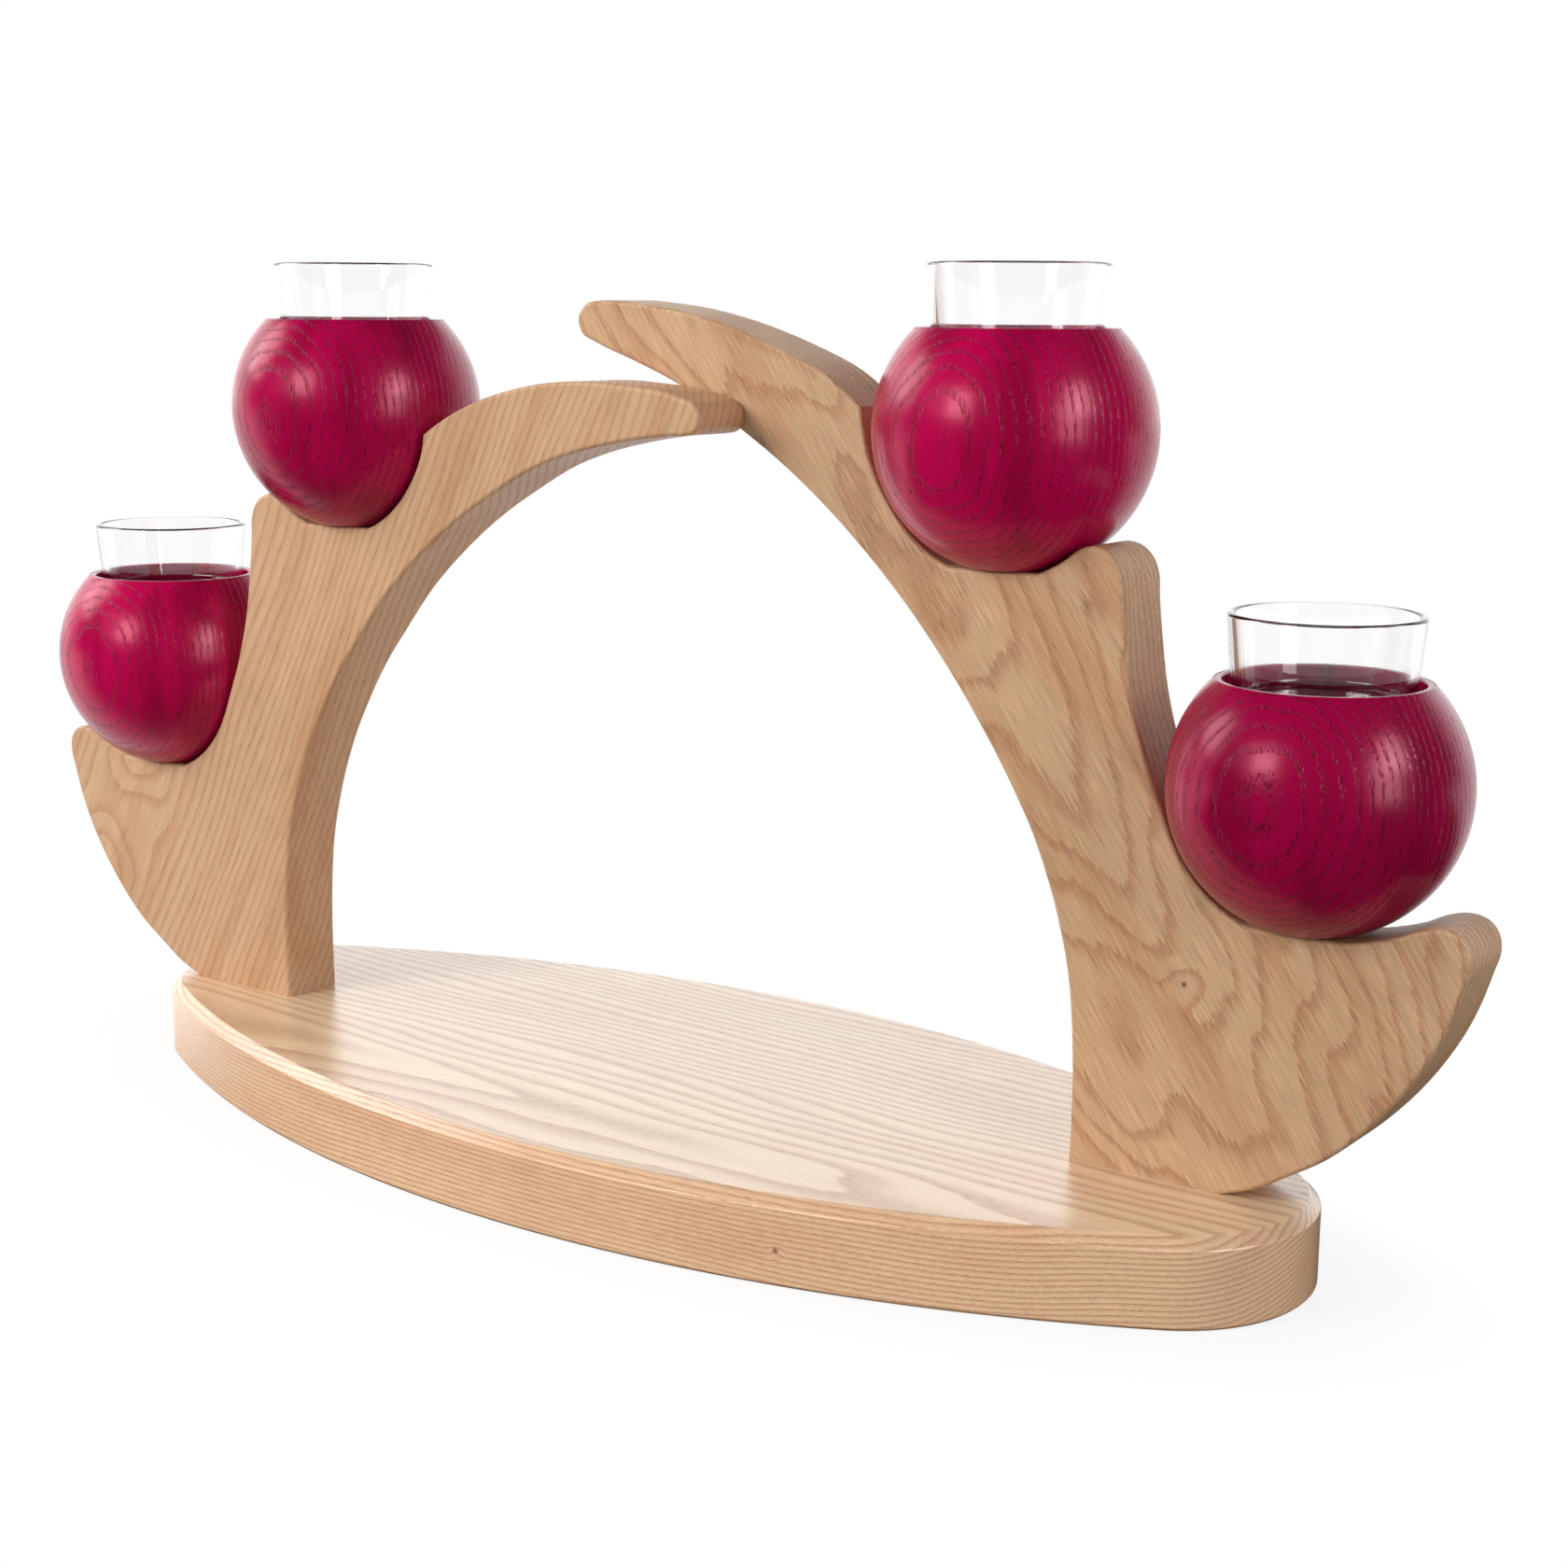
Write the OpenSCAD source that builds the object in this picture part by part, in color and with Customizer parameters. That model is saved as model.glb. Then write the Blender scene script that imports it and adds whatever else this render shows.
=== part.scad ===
// Advent candle holder: an arch of two ash plates on a lens-shaped base, with
// four crimson turned balls that each carry a clear glass cup for a tealight.
// X runs along the arch, Y away from the front and Z up, in millimetres, with
// the origin under the middle of the arch. Heights of the arch are counted
// from the top of the base.

/* [Base] */
// Length of the base over its rounded ends
base_l = 406; // [390:1:460]
// Width of the base across its middle
base_w = 162; // [120:1:200]
// Thickness of the base
base_t = 24; // [18:0.5:34]
// Radius of the rounded ends
base_end_r = 40; // [20:1:55]
// How far the base sits off the middle of the arch, to the right
base_shift = 4; // [0:0.5:8]
// Bevel along the top edge
base_bevel = 3; // [1:0.5:6]
// Small bevel along the bottom edge
base_ease = 1; // [0.5:0.25:3]

/* [Arch plates] */
// Thickness of each plate
plate_t = 21; // [17:0.5:24]
// Distance from the middle to the inner edge of each foot
foot_in = 138.5; // [125:0.5:142]
// Width of each foot on the base
foot_w = 44.5; // [38:0.5:50]
// Reach of the lower horn beyond the middle of its ball
lower_horn_reach = 45; // [40:0.2:48]
// Rise of the lower horn over its seat
lower_horn_rise = 7.6; // [5:0.2:10]
// Reach of the upper horn beyond the middle of its ball
upper_horn_reach = 38.8; // [34:0.2:40]
// Rise of the upper horn over its seat
upper_horn_rise = 8.2; // [5:0.2:9]
// How far the right arm passes the middle
right_arm_reach = 30.7; // [22:0.1:40]
// Height of the right arm over the middle of the upper balls
right_arm_rise = 32.6; // [29:0.1:40]
// How far the left arm passes the middle
left_arm_reach = 30; // [24:0.1:34]
// Height of the left arm over the middle of the upper balls
left_arm_rise = 10.5; // [9:0.1:14]
// Gap between a ball and the round of its saddle
saddle_gap = 0.4; // [0.3:0.1:1]

/* [Balls] */
// Diameter of each ball
ball_d = 75; // [70:0.5:78]
// Distance from the middle to an upper ball
upper_ball_x = 110.5; // [104:0.5:116]
// Height of an upper ball's middle over the base
upper_ball_h = 190; // [180:0.5:205]
// Distance from the middle to a lower ball
lower_ball_x = 199.5; // [192:0.5:206]
// Height of a lower ball's middle over the base
lower_ball_h = 106.5; // [98:0.5:112]
// Diameter of the flat cut on top of a ball
mouth_d = 53; // [52:0.5:58]
// Diameter of the small flat that a ball stands on
seat_d = 24; // [18:0.5:30]
// Diameter of the recess for the glass
recess_d = 49.2; // [48.6:0.2:50.4]
// Depth of the recess for the glass
recess_depth = 8.5; // [6:0.5:12]

/* [Glass cups] */
// Outer diameter at the rim
glass_rim_d = 48; // [46.4:0.2:48.4]
// Outer diameter just above the round of the foot
glass_foot_d = 43.6; // [42.4:0.2:45.6]
// Height of the glass
glass_h = 25; // [20:0.5:32]
// Thickness of the wall
glass_wall = 1.8; // [1.4:0.1:2.6]
// Thickness of the floor
glass_floor = 4; // [2.5:0.25:6]
// Round of the outer foot edge
glass_foot_r = 2; // [1:0.25:2.5]

/* [Fixings] */
// Diameter of the dowel under each ball
dowel_d = 8; // [6:0.5:10]
// Length of the dowel under each ball
dowel_l = 30; // [20:1:36]
// Bevel at both ends of a dowel
dowel_bevel = 1; // [0.5:0.1:1.5]
// Spare depth at the blind end of a dowel, screw or pin hole
end_play = 0.5; // [0.3:0.1:1]
// Radial glue gap round a dowel, screw or pin
glue_gap = 0.05; // [0.03:0.01:0.1]
// Diameter of a foot screw
screw_d = 4.5; // [3.5:0.1:5]
// Length of a foot screw
screw_l = 50; // [42:1:56]
// Diameter of a foot screw's head
screw_head_d = 9; // [7.5:0.1:10]
// Rim of the head above its cone
screw_head_rim = 0.4; // [0.3:0.1:0.6]
// Depth of the head below the underside
screw_sink = 0.6; // [0.3:0.1:1.5]
// Length of the point of a foot screw
screw_point = 5; // [3:0.5:7]
// Width of the slots in the cross recess of the head
cross_slot = 1; // [0.6:0.1:1.2]
// Depth of the cross recess of the head
cross_depth = 1.8; // [1:0.1:2.2]
// Diameter of the pin through both arms
pin_d = 3; // [2:0.1:3.6]
// Length of the pin through both arms
pin_l = 24; // [16:0.5:30]
// Distance of the pin from the end of the left arm
pin_inset = 6; // [5:0.1:8]

/* [Hidden] */
$fn = 96;

ash = "#d2a679";
ash_pale = "#e4c49a";
crimson = "#96123c";
clear = "#dfe9ec";
beech = "#d9b48a";
steel = "#a9adb2";

// Straight pieces in one stretch of a curve, in the round of a saddle and in
// the arc of a base end or side
curve_steps = 4;
saddle_steps = 4;
end_steps = 16;
side_steps = 24;
// One overrun for every cut
over = 1;

ball_r = ball_d / 2;
saddle_r = ball_r + saddle_gap;
mouth_h = sqrt(pow(ball_r, 2) - pow(mouth_d / 2, 2));
seat_drop = sqrt(pow(ball_r, 2) - pow(seat_d / 2, 2));
// Where the flat under a ball meets the round of its saddle
seat_half = sqrt(pow(saddle_r, 2) - pow(seat_drop, 2));
seat_angle = asin(seat_half / saddle_r);
upper_c = [upper_ball_x, upper_ball_h];
lower_c = [lower_ball_x, lower_ball_h];
foot_out = foot_in + foot_w;

// The outer edge of a plate from the foot to the lower horn, as shares of the
// way out to the horn and of the way up to the seat
belly_shares = [
    [0.125, 0.039], [0.283, 0.119], [0.451, 0.215], [0.616, 0.351], [0.78, 0.532], [0.905, 0.729],
    [0.978, 0.916]
];
// The round of the lower horn, as shares of its reach and of its rise
lower_horn_shares = [
    [1, -0.13], [0.985, 0.46], [0.94, 0.8], [0.87, 0.98], [0.785, 0.98], [0.69, 0.81], [0.585, 0.5],
    [0.47, 0.26]
];
// The waist from the lower saddle up to the upper horn, as shares of the way
waist_shares = [[0.84, 0.9], [0.6, 0.75], [0.39, 0.59], [0.21, 0.41], [0.09, 0.21]];
// The root of the upper horn, a share of its rise below the seat
horn_root_share = 0.6;
// The round of the upper horn, as shares of its reach and of its rise
upper_horn_shares = [[0.99, 0.06], [0.94, 0.58], [0.845, 0.93], [0.74, 1]];
// Angles round a ball's middle, from the foot of the ball, up to which the
// saddles follow it: the lower one inwards, the upper one outwards and inwards
lower_wrap = 65;
upper_wrap_out = 40;
upper_wrap_in = 52;
// The upper end of each upper saddle, in ball radii from the ball's middle;
// the last point is the sharp corner where the arm starts
right_lip_shares = [[-0.957, -0.384], [-1.048, -0.173], [-1.088, 0], [-1.115, 0.144]];
left_lip_shares = [[-0.965, -0.33], [-1, -0.17]];
// The top of each arm and its tip, as shares of the way from the end of the
// arm back to the saddle corner and of the way from that corner up to the top
right_arm_shares = [
    [0.87, 0.327], [0.71, 0.57], [0.55, 0.757], [0.35, 0.919], [0.2, 0.982], [0.09, 1],
    [0.027, 0.96], [0, 0.81], [0.015, 0.655], [0.062, 0.57]
];
left_arm_shares = [
    [0.97, 0.11], [0.875, 0.41], [0.775, 0.64], [0.68, 0.795], [0.59, 0.905], [0.49, 0.975], [0.385, 1],
    [0.28, 0.97], [0.19, 0.93], [0.105, 0.865], [0.053, 0.785], [0.016, 0.7], [0, 0.59], [0, 0.31],
    [0.013, 0.235], [0.045, 0.19]
];
// The underside of each arm down to where both arches are alike, as shares of
// the foot's distance from the middle and of the upper balls' height
right_under_shares = [
    [-0.072, 1.083], [0, 1.064], [0.101, 1.031], [0.206, 0.988], [0.325, 0.933], [0.433, 0.873],
    [0.575, 0.778], [0.697, 0.678]
];
left_under_shares = [
    [-0.14, 0.981], [-0.06, 0.974], [0.04, 0.961], [0.125, 0.946], [0.217, 0.923], [0.325, 0.883],
    [0.433, 0.837], [0.54, 0.78], [0.643, 0.713], [0.733, 0.637]
];
// The inner edge of the arch down to the foot, as shares of the same two
arch_shares = [
    [0.797, 0.579], [0.853, 0.516], [0.901, 0.453], [0.938, 0.389], [0.966, 0.326], [0.986, 0.263],
    [0.996, 0.2], [1.001, 0.137], [1.002, 0.063]
];
// Places of the two screws across a foot
screw_shares = [0.28, 0.74];

// Direction of a curve at point i of a list
function course(p, i) =
    i == 0 ? (p[1] - p[0]) / norm(p[1] - p[0]) :
    i == len(p) - 1 ? (p[i] - p[i - 1]) / norm(p[i] - p[i - 1]) :
    let (a = norm(p[i] - p[i - 1]), b = norm(p[i + 1] - p[i]))
    (b * (p[i] - p[i - 1]) / a + a * (p[i + 1] - p[i]) / b) / (a + b);

// A point at share t of the stretch from point i to point i + 1
function between(p, i, t) =
    let (d = norm(p[i + 1] - p[i]))
    (2 * pow(t, 3) - 3 * pow(t, 2) + 1) * p[i] + (pow(t, 3) - 2 * pow(t, 2) + t) * d * course(p, i)
    + (3 * pow(t, 2) - 2 * pow(t, 3)) * p[i + 1] + (pow(t, 3) - pow(t, 2)) * d * course(p, i + 1);

// A smooth curve through all the points of a list, without its last point
function curve(p) = [
    for (i = [0 : len(p) - 2]) for (k = [0 : curve_steps - 1]) between(p, i, k / curve_steps)
];

function scaled(shares, from, size) = [for (s = shares) from + [s[0] * size[0], s[1] * size[1]]];
function saddle(centre, from, to) = [
    for (k = [0 : saddle_steps])
        let (a = from + (to - from) * k / saddle_steps)
        centre + saddle_r * [sin(a), -cos(a)]
];
function last(p) = p[len(p) - 1];
function full_curve(p) = concat(curve(p), [last(p)]);

// The outer edge from the foot over both saddles to the corner where the arm starts
lower_seat_h = lower_ball_h - seat_drop;
upper_seat_h = upper_ball_h - seat_drop;
belly = scaled(belly_shares, [foot_out, 0], [lower_ball_x + lower_horn_reach - foot_out, lower_seat_h]);
lower_horn = scaled(lower_horn_shares, [lower_ball_x, lower_seat_h], [lower_horn_reach, lower_horn_rise]);
lower_saddle = saddle(lower_c, -seat_angle, -lower_wrap);
horn_root = [upper_ball_x + upper_horn_reach, upper_seat_h - horn_root_share * upper_horn_rise];
waist = scaled(waist_shares, horn_root, last(lower_saddle) - horn_root);
upper_horn = scaled(upper_horn_shares, [upper_ball_x, upper_seat_h], [upper_horn_reach, upper_horn_rise]);
upper_saddle = saddle(upper_c, upper_wrap_out, seat_angle);

// Both seats stay straight between the curves
function outer_edge(lip) = concat(
    full_curve(concat([[foot_out, 0]], belly, lower_horn, [lower_c + [seat_half, -seat_drop]])),
    full_curve(concat(lower_saddle, waist, [horn_root], upper_horn, upper_saddle)),
    curve(concat(saddle(upper_c, -seat_angle, -upper_wrap_in), lip))
);

// The arm from its saddle corner round the tip, and on along the arch to the foot
function inner_edge(corner, reach, rise, arm_shares, under_shares) = concat(
    [corner],
    scaled(arm_shares, [-reach, corner[1]], [corner[0] + reach, upper_ball_h + rise - corner[1]]),
    scaled(concat(under_shares, arch_shares, [[1, 0]]), [0, 0], [foot_in, upper_ball_h])
);

right_lip = scaled(right_lip_shares, upper_c, [ball_r, ball_r]);
left_lip = scaled(left_lip_shares, upper_c, [ball_r, ball_r]);
right_inner = inner_edge(
    last(right_lip), right_arm_reach, right_arm_rise, right_arm_shares, right_under_shares
);
left_inner = inner_edge(
    last(left_lip), left_arm_reach, left_arm_rise, left_arm_shares, left_under_shares
);
right_outline = concat(outer_edge(right_lip), full_curve(right_inner));
left_outline = concat(outer_edge(left_lip), full_curve(left_inner));

// The pin goes midway between the underside of the right arm and the top of the left arm
pin_x = left_arm_reach - pin_inset;
right_under = scaled(right_under_shares, [0, 0], [foot_in, upper_ball_h]);
left_top = [for (p = left_inner) if (p[1] > upper_ball_h) p];
pin_h = (lookup(pin_x, right_under) + lookup(-pin_x, left_top)) / 2;

// The base seen from above: two wide arcs with rounded ends
half_w = base_w / 2;
end_x = base_l / 2 - base_end_r;
// Radius of the wide arcs that touch both end rounds and the middle width
side_r = (pow(end_x, 2) + pow(half_w, 2) - pow(base_end_r, 2)) / (2 * (half_w - base_end_r));
side_angle = asin(end_x / (side_r - base_end_r));

function quarter(inset) = concat(
    [for (k = [0 : side_steps])
        let (a = side_angle * k / side_steps)
        [(side_r - inset) * sin(a), (side_r - inset) * cos(a) - side_r + half_w]],
    [for (k = [1 : end_steps])
        let (a = side_angle + (90 - side_angle) * k / end_steps)
        [end_x + (base_end_r - inset) * sin(a), (base_end_r - inset) * cos(a)]]
);

// The whole outline, with every quarter's last point left to the next one
function around(q) = let (n = len(q)) concat(
    [for (i = [0 : n - 2]) q[i]], [for (i = [n - 1 : -1 : 1]) [q[i][0], -q[i][1]]],
    [for (i = [0 : n - 2]) -q[i]], [for (i = [n - 1 : -1 : 1]) [-q[i][0], q[i][1]]]
);

function ring(inset, z) = [for (p = around(quarter(inset))) [p[0], p[1], z]];

module board() {
    rings = [
        ring(base_ease, 0), ring(0, base_ease), ring(0, base_t - base_bevel), ring(base_bevel, base_t)
    ];
    n = len(rings[0]);
    polyhedron(
        points = [for (r = rings) for (p = r) p],
        faces = concat(
            [[for (i = [n - 1 : -1 : 0]) i]],
            [for (j = [0 : 2]) for (i = [0 : n - 1])
                [j * n + i, j * n + (i + 1) % n, (j + 1) * n + (i + 1) % n, (j + 1) * n + i]],
            [[for (i = [0 : n - 1]) 3 * n + i]]
        )
    );
}

module base() {
    color(ash_pale)
        difference() {
            translate([base_shift, 0, 0])
                board();
            for (side = [-1, 1]) for (share = screw_shares)
                at_screw(side, share) screw_hole();
        }
}

// Plates stand on the base, the left one in front of the middle plane and the
// right one behind it
module plate(outline, side) {
    color(ash)
        difference() {
            translate([0, side > 0 ? plate_t : 0, base_t])
                rotate([90, 0, 0])
                    linear_extrude(plate_t)
                        polygon([for (p = outline) [side * p[0], p[1]]]);
            for (c = [upper_c, lower_c])
                at_ball(c, side) dowel_hole();
            for (share = screw_shares)
                at_screw(side, share) screw_hole();
            at_pin() pin_hole();
        }
}

module at_ball(centre, side) {
    translate([side * centre[0], side * plate_t / 2, base_t + centre[1]])
        children();
}

module at_screw(side, share) {
    translate([side * (foot_in + share * foot_w), side * plate_t / 2, screw_sink])
        children();
}

module at_pin() {
    translate([pin_x, 0, base_t + pin_h])
        rotate([90, 0, 0])
            children();
}

module ball(centre, side) {
    color(crimson)
        at_ball(centre, side)
            difference() {
                intersection() {
                    sphere(ball_r);
                    translate([0, 0, -seat_drop])
                        cylinder(h = seat_drop + mouth_h, r = ball_d);
                }
                translate([0, 0, mouth_h - recess_depth])
                    cylinder(h = recess_depth + over, d = recess_d);
                dowel_hole();
            }
}

// A cup with a thick floor, a slightly flared wall and a fire-rounded rim
module glass(centre, side) {
    foot_r = glass_foot_d / 2;
    rim_r = glass_rim_d / 2;
    lip_r = glass_wall / 2;
    color(clear, 0.4)
        at_ball(centre, side)
            translate([0, 0, mouth_h - recess_depth])
                rotate_extrude()
                    difference() {
                        union() {
                            square([foot_r - glass_foot_r, glass_foot_r]);
                            translate([foot_r - glass_foot_r, glass_foot_r])
                                circle(glass_foot_r);
                            polygon([
                                [0, glass_foot_r], [foot_r, glass_foot_r],
                                [rim_r, glass_h - lip_r], [0, glass_h - lip_r]
                            ]);
                            translate([rim_r - lip_r, glass_h - lip_r])
                                circle(lip_r);
                        }
                        translate([-over, -over])
                            square([over, glass_h + 2 * over]);
                        polygon([
                            [-over, glass_floor], [foot_r - glass_wall, glass_floor],
                            [rim_r - glass_wall, glass_h - lip_r], [rim_r - glass_wall, glass_h + over],
                            [-over, glass_h + over]
                        ]);
                    }
}

// The dowel stands half in the ball and half in the plate
module dowel(centre, side) {
    flat_d = dowel_d - 2 * dowel_bevel;
    color(beech)
        at_ball(centre, side)
            translate([0, 0, -seat_drop - dowel_l / 2]) {
                cylinder(h = dowel_bevel, d1 = flat_d, d2 = dowel_d);
                translate([0, 0, dowel_bevel])
                    cylinder(h = dowel_l - 2 * dowel_bevel, d = dowel_d);
                translate([0, 0, dowel_l - dowel_bevel])
                    cylinder(h = dowel_bevel, d1 = dowel_d, d2 = flat_d);
            }
}

module dowel_hole() {
    translate([0, 0, -seat_drop - dowel_l / 2 - end_play])
        cylinder(h = dowel_l + 2 * end_play, d = dowel_d + 2 * glue_gap);
}

// Countersunk wood screw, head down, drawn from its head upwards
module screw(side, share) {
    cone_h = (screw_head_d - screw_d) / 2;
    color(steel)
        at_screw(side, share)
            difference() {
                union() {
                    cylinder(h = screw_head_rim, d = screw_head_d);
                    translate([0, 0, screw_head_rim])
                        cylinder(h = cone_h, d1 = screw_head_d, d2 = screw_d);
                    cylinder(h = screw_l - screw_point, d = screw_d);
                    translate([0, 0, screw_l - screw_point])
                        cylinder(h = screw_point, d1 = screw_d, d2 = 0);
                }
                for (turn = [0, 90])
                    rotate(turn)
                        translate([-screw_d / 2, -cross_slot / 2, -over])
                            cube([screw_d, cross_slot, cross_depth + over]);
            }
}

module screw_hole() {
    cone_h = (screw_head_d - screw_d) / 2;
    head_d = screw_head_d + 2 * glue_gap;
    hole_d = screw_d + 2 * glue_gap;
    translate([0, 0, -screw_sink - over])
        cylinder(h = screw_sink + over + screw_head_rim, d = head_d);
    translate([0, 0, screw_head_rim])
        cylinder(h = cone_h, d1 = head_d, d2 = hole_d);
    cylinder(h = screw_l + end_play, d = hole_d);
}

module apex_pin() {
    color(steel)
        at_pin()
            translate([0, 0, -pin_l / 2])
                cylinder(h = pin_l, d = pin_d);
}

module pin_hole() {
    translate([0, 0, -pin_l / 2 - end_play])
        cylinder(h = pin_l + 2 * end_play, d = pin_d + 2 * glue_gap);
}

base();
plate(left_outline, -1);  // left_arch_plate
plate(right_outline, 1);  // right_arch_plate
ball(upper_c, -1);  // upper_left_ball
ball(upper_c, 1);  // upper_right_ball
ball(lower_c, -1);  // lower_left_ball
ball(lower_c, 1);  // lower_right_ball
glass(upper_c, -1);  // upper_left_glass
glass(upper_c, 1);  // upper_right_glass
glass(lower_c, -1);  // lower_left_glass
glass(lower_c, 1);  // lower_right_glass
dowel(upper_c, -1);  // upper_left_dowel
dowel(upper_c, 1);  // upper_right_dowel
dowel(lower_c, -1);  // lower_left_dowel
dowel(lower_c, 1);  // lower_right_dowel
screw(-1, screw_shares[0]);  // left_inner_screw
screw(-1, screw_shares[1]);  // left_outer_screw
screw(1, screw_shares[0]);  // right_inner_screw
screw(1, screw_shares[1]);  // right_outer_screw
apex_pin();
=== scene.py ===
"""Looks of the advent candle holder: an ash arch in two halves on a pale ash base, with four
stained ash balls and a glass cup in each. It is laid out as an add-on and run as a script."""

import math

import bmesh
import bpy
from bpy.props import FloatProperty, FloatVectorProperty, PointerProperty
from mathutils import Euler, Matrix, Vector


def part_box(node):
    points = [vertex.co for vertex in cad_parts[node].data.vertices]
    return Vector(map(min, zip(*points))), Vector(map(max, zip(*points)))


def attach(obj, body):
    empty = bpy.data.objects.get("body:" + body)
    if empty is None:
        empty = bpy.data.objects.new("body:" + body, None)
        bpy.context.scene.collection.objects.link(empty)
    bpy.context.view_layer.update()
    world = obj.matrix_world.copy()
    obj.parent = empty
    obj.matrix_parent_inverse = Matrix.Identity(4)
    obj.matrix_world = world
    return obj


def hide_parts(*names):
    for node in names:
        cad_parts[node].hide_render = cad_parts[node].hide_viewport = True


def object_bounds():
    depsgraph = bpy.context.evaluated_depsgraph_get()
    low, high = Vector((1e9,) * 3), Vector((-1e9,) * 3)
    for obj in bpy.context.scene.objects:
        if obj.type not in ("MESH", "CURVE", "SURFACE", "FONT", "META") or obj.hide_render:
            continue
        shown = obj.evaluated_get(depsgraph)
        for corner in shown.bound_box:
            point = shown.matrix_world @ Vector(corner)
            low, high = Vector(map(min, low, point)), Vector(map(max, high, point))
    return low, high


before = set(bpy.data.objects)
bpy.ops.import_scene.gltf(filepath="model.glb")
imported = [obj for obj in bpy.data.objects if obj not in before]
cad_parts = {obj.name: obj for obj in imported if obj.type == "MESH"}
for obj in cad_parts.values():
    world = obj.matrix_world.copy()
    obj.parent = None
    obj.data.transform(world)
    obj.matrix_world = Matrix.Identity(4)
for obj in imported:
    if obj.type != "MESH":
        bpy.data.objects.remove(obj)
cad_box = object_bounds()

bl_info = {
    "name": "Advent candle holder",
    "version": (1, 0, 0),
    "blender": (4, 5, 0),
    "location": "3D View > Sidebar > Candle holder",
    "description": "Adds the finished pieces of the candle holder around its packed frame",
    "category": "Add Mesh",
}

MM = 0.001

# The four places for a ball, each with a glass cup in it. The cup rides on a body of its own.
PLACES = ("upper_left", "upper_right", "lower_left", "lower_right")
HOLDER = "holder"

# Steps round a full circle, along the small rounds of wood and along those of glass.
BALL_STEPS = 128
GLASS_STEPS = 128
ROUND_STEPS = 3
GLASS_ROUND_STEPS = 5
# Vertices closer than this are one vertex in a merged copy of a CAD mesh.
MERGE_GAP = 0.001 * MM
# Neighbouring triangles flatter than this to each other become one face.
FLAT_ANGLE = math.radians(0.05)
# An edge that turns more than this stays crisp in the shading.
CRISP_ANGLE = math.radians(35)
# The base's level edges that turn more than this are softened. Under this slope an edge is level.
SOFTENED_ANGLE = math.radians(12)
LEVEL_SLOPE = 0.01
# An edge this near the box of a fixing belongs to a bored hole, in the base and in a plate.
BASE_BORE_GAP = 1.0 * MM
PLATE_BORE_GAP = 0.5 * MM
# The Y part of a face's normal is under the first on a plate's narrow side, and over the second
# on its flat face.
NARROW_SIDE = 0.1
FLAT_FACE = 0.99
# Edges of a plate that are no higher than this over its foot stand on the base and stay sharp.
STANDING_GAP = 0.1 * MM
# A glass rim is rounded by this share of its wall on both sides, so it is almost a full round.
RIM_ROUND_SHARE = 0.48

# Places of the inputs and the output of a Mix node for colours, and for numbers.
MIX_SHARE = 0
MIX_FIRST = 6
MIX_SECOND = 7
MIX_COLOUR = 2
MIX_FIRST_NUMBER = 2
MIX_SECOND_NUMBER = 3
# A Map Range node that goes slowly at both ends.
SMOOTH = {"interpolation_type": "SMOOTHSTEP"}


def linear(hex_colour):
    """The linear colour, with a full alpha, of an sRGB hex value such as C89B6E."""
    parts = [int(hex_colour[i : i + 2], 16) / 255 for i in (0, 2, 4)]
    return [p / 12.92 if p <= 0.04045 else ((p + 0.055) / 1.055) ** 2.4 for p in parts] + [1.0]


WHITE = linear("FFFFFF")

# How the growth rings lie in each piece of ash. Lengths are in millimetres unless said otherwise.
# origin is a point in the row frame, in metres, and turn the grain's own frame in degrees:
# its X runs along the grain, its Y across the growth rings and its Z along them.
# steepness and crown say how the rings fall away on both sides of that X axis.
BASE_GRAIN = {
    "origin": (0.0, -0.054, 0.024),
    "turn": (-90.0, 0.0, 0.0),
    "spacing": 1.5,
    "steepness": 0.37,
    "crown": 32.0,
    "run_out": 0.011,
    "wave": 3.4,
    "wave_reach": (150.0, 60.0, 34.0),
    "tooth": 0.16,
    "early_share": 0.60,
    "contrast": 0.56,
    "fibre": 0.13,
    "pore_share": 0.30,
    "pore_start": 0.56,
    "pore_size": (4.5, 0.5, 0.5),
    "pore_depth": 0.05,
    "roughness": 0.30,
    "coat": 1.0,
    "gloss_tint": WHITE,
    "lathe": 0.0,
}
RIGHT_PLATE_GRAIN = {
    "origin": (0.166, 0.004, 0.072),
    "turn": (0.0, 55.0, 0.0),
    "spacing": 2.3,
    "steepness": 0.34,
    "crown": 34.0,
    "run_out": 0.075,
    "wave": 7.0,
    "wave_reach": (70.0, 30.0, 28.0),
    "tooth": 0.62,
    "early_share": 0.42,
    "contrast": 0.52,
    "fibre": 0.26,
    "pore_share": 0.40,
    "pore_start": 0.56,
    "pore_size": (4.5, 0.5, 0.5),
    "pore_depth": 0.05,
    "roughness": 0.45,
    "coat": 0.0,
    "gloss_tint": WHITE,
    "lathe": 0.0,
}
LEFT_PLATE_GRAIN = {
    "origin": (-0.2166, -0.021, 0.0757),
    "turn": (0.0, -63.0, 0.0),
    "spacing": 3.5,
    "steepness": 1.25,
    "crown": 26.0,
    "run_out": 0.010,
    "wave": 6.5,
    "wave_reach": (90.0, 60.0, 34.0),
    "tooth": 0.36,
    "early_share": 0.52,
    "contrast": 0.40,
    "fibre": 0.16,
    "pore_share": 0.25,
    "pore_start": 0.56,
    "pore_size": (4.5, 0.5, 0.5),
    "pore_depth": 0.05,
    "roughness": 0.45,
    "coat": 0.0,
    "gloss_tint": WHITE,
    "lathe": 0.0,
}
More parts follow.
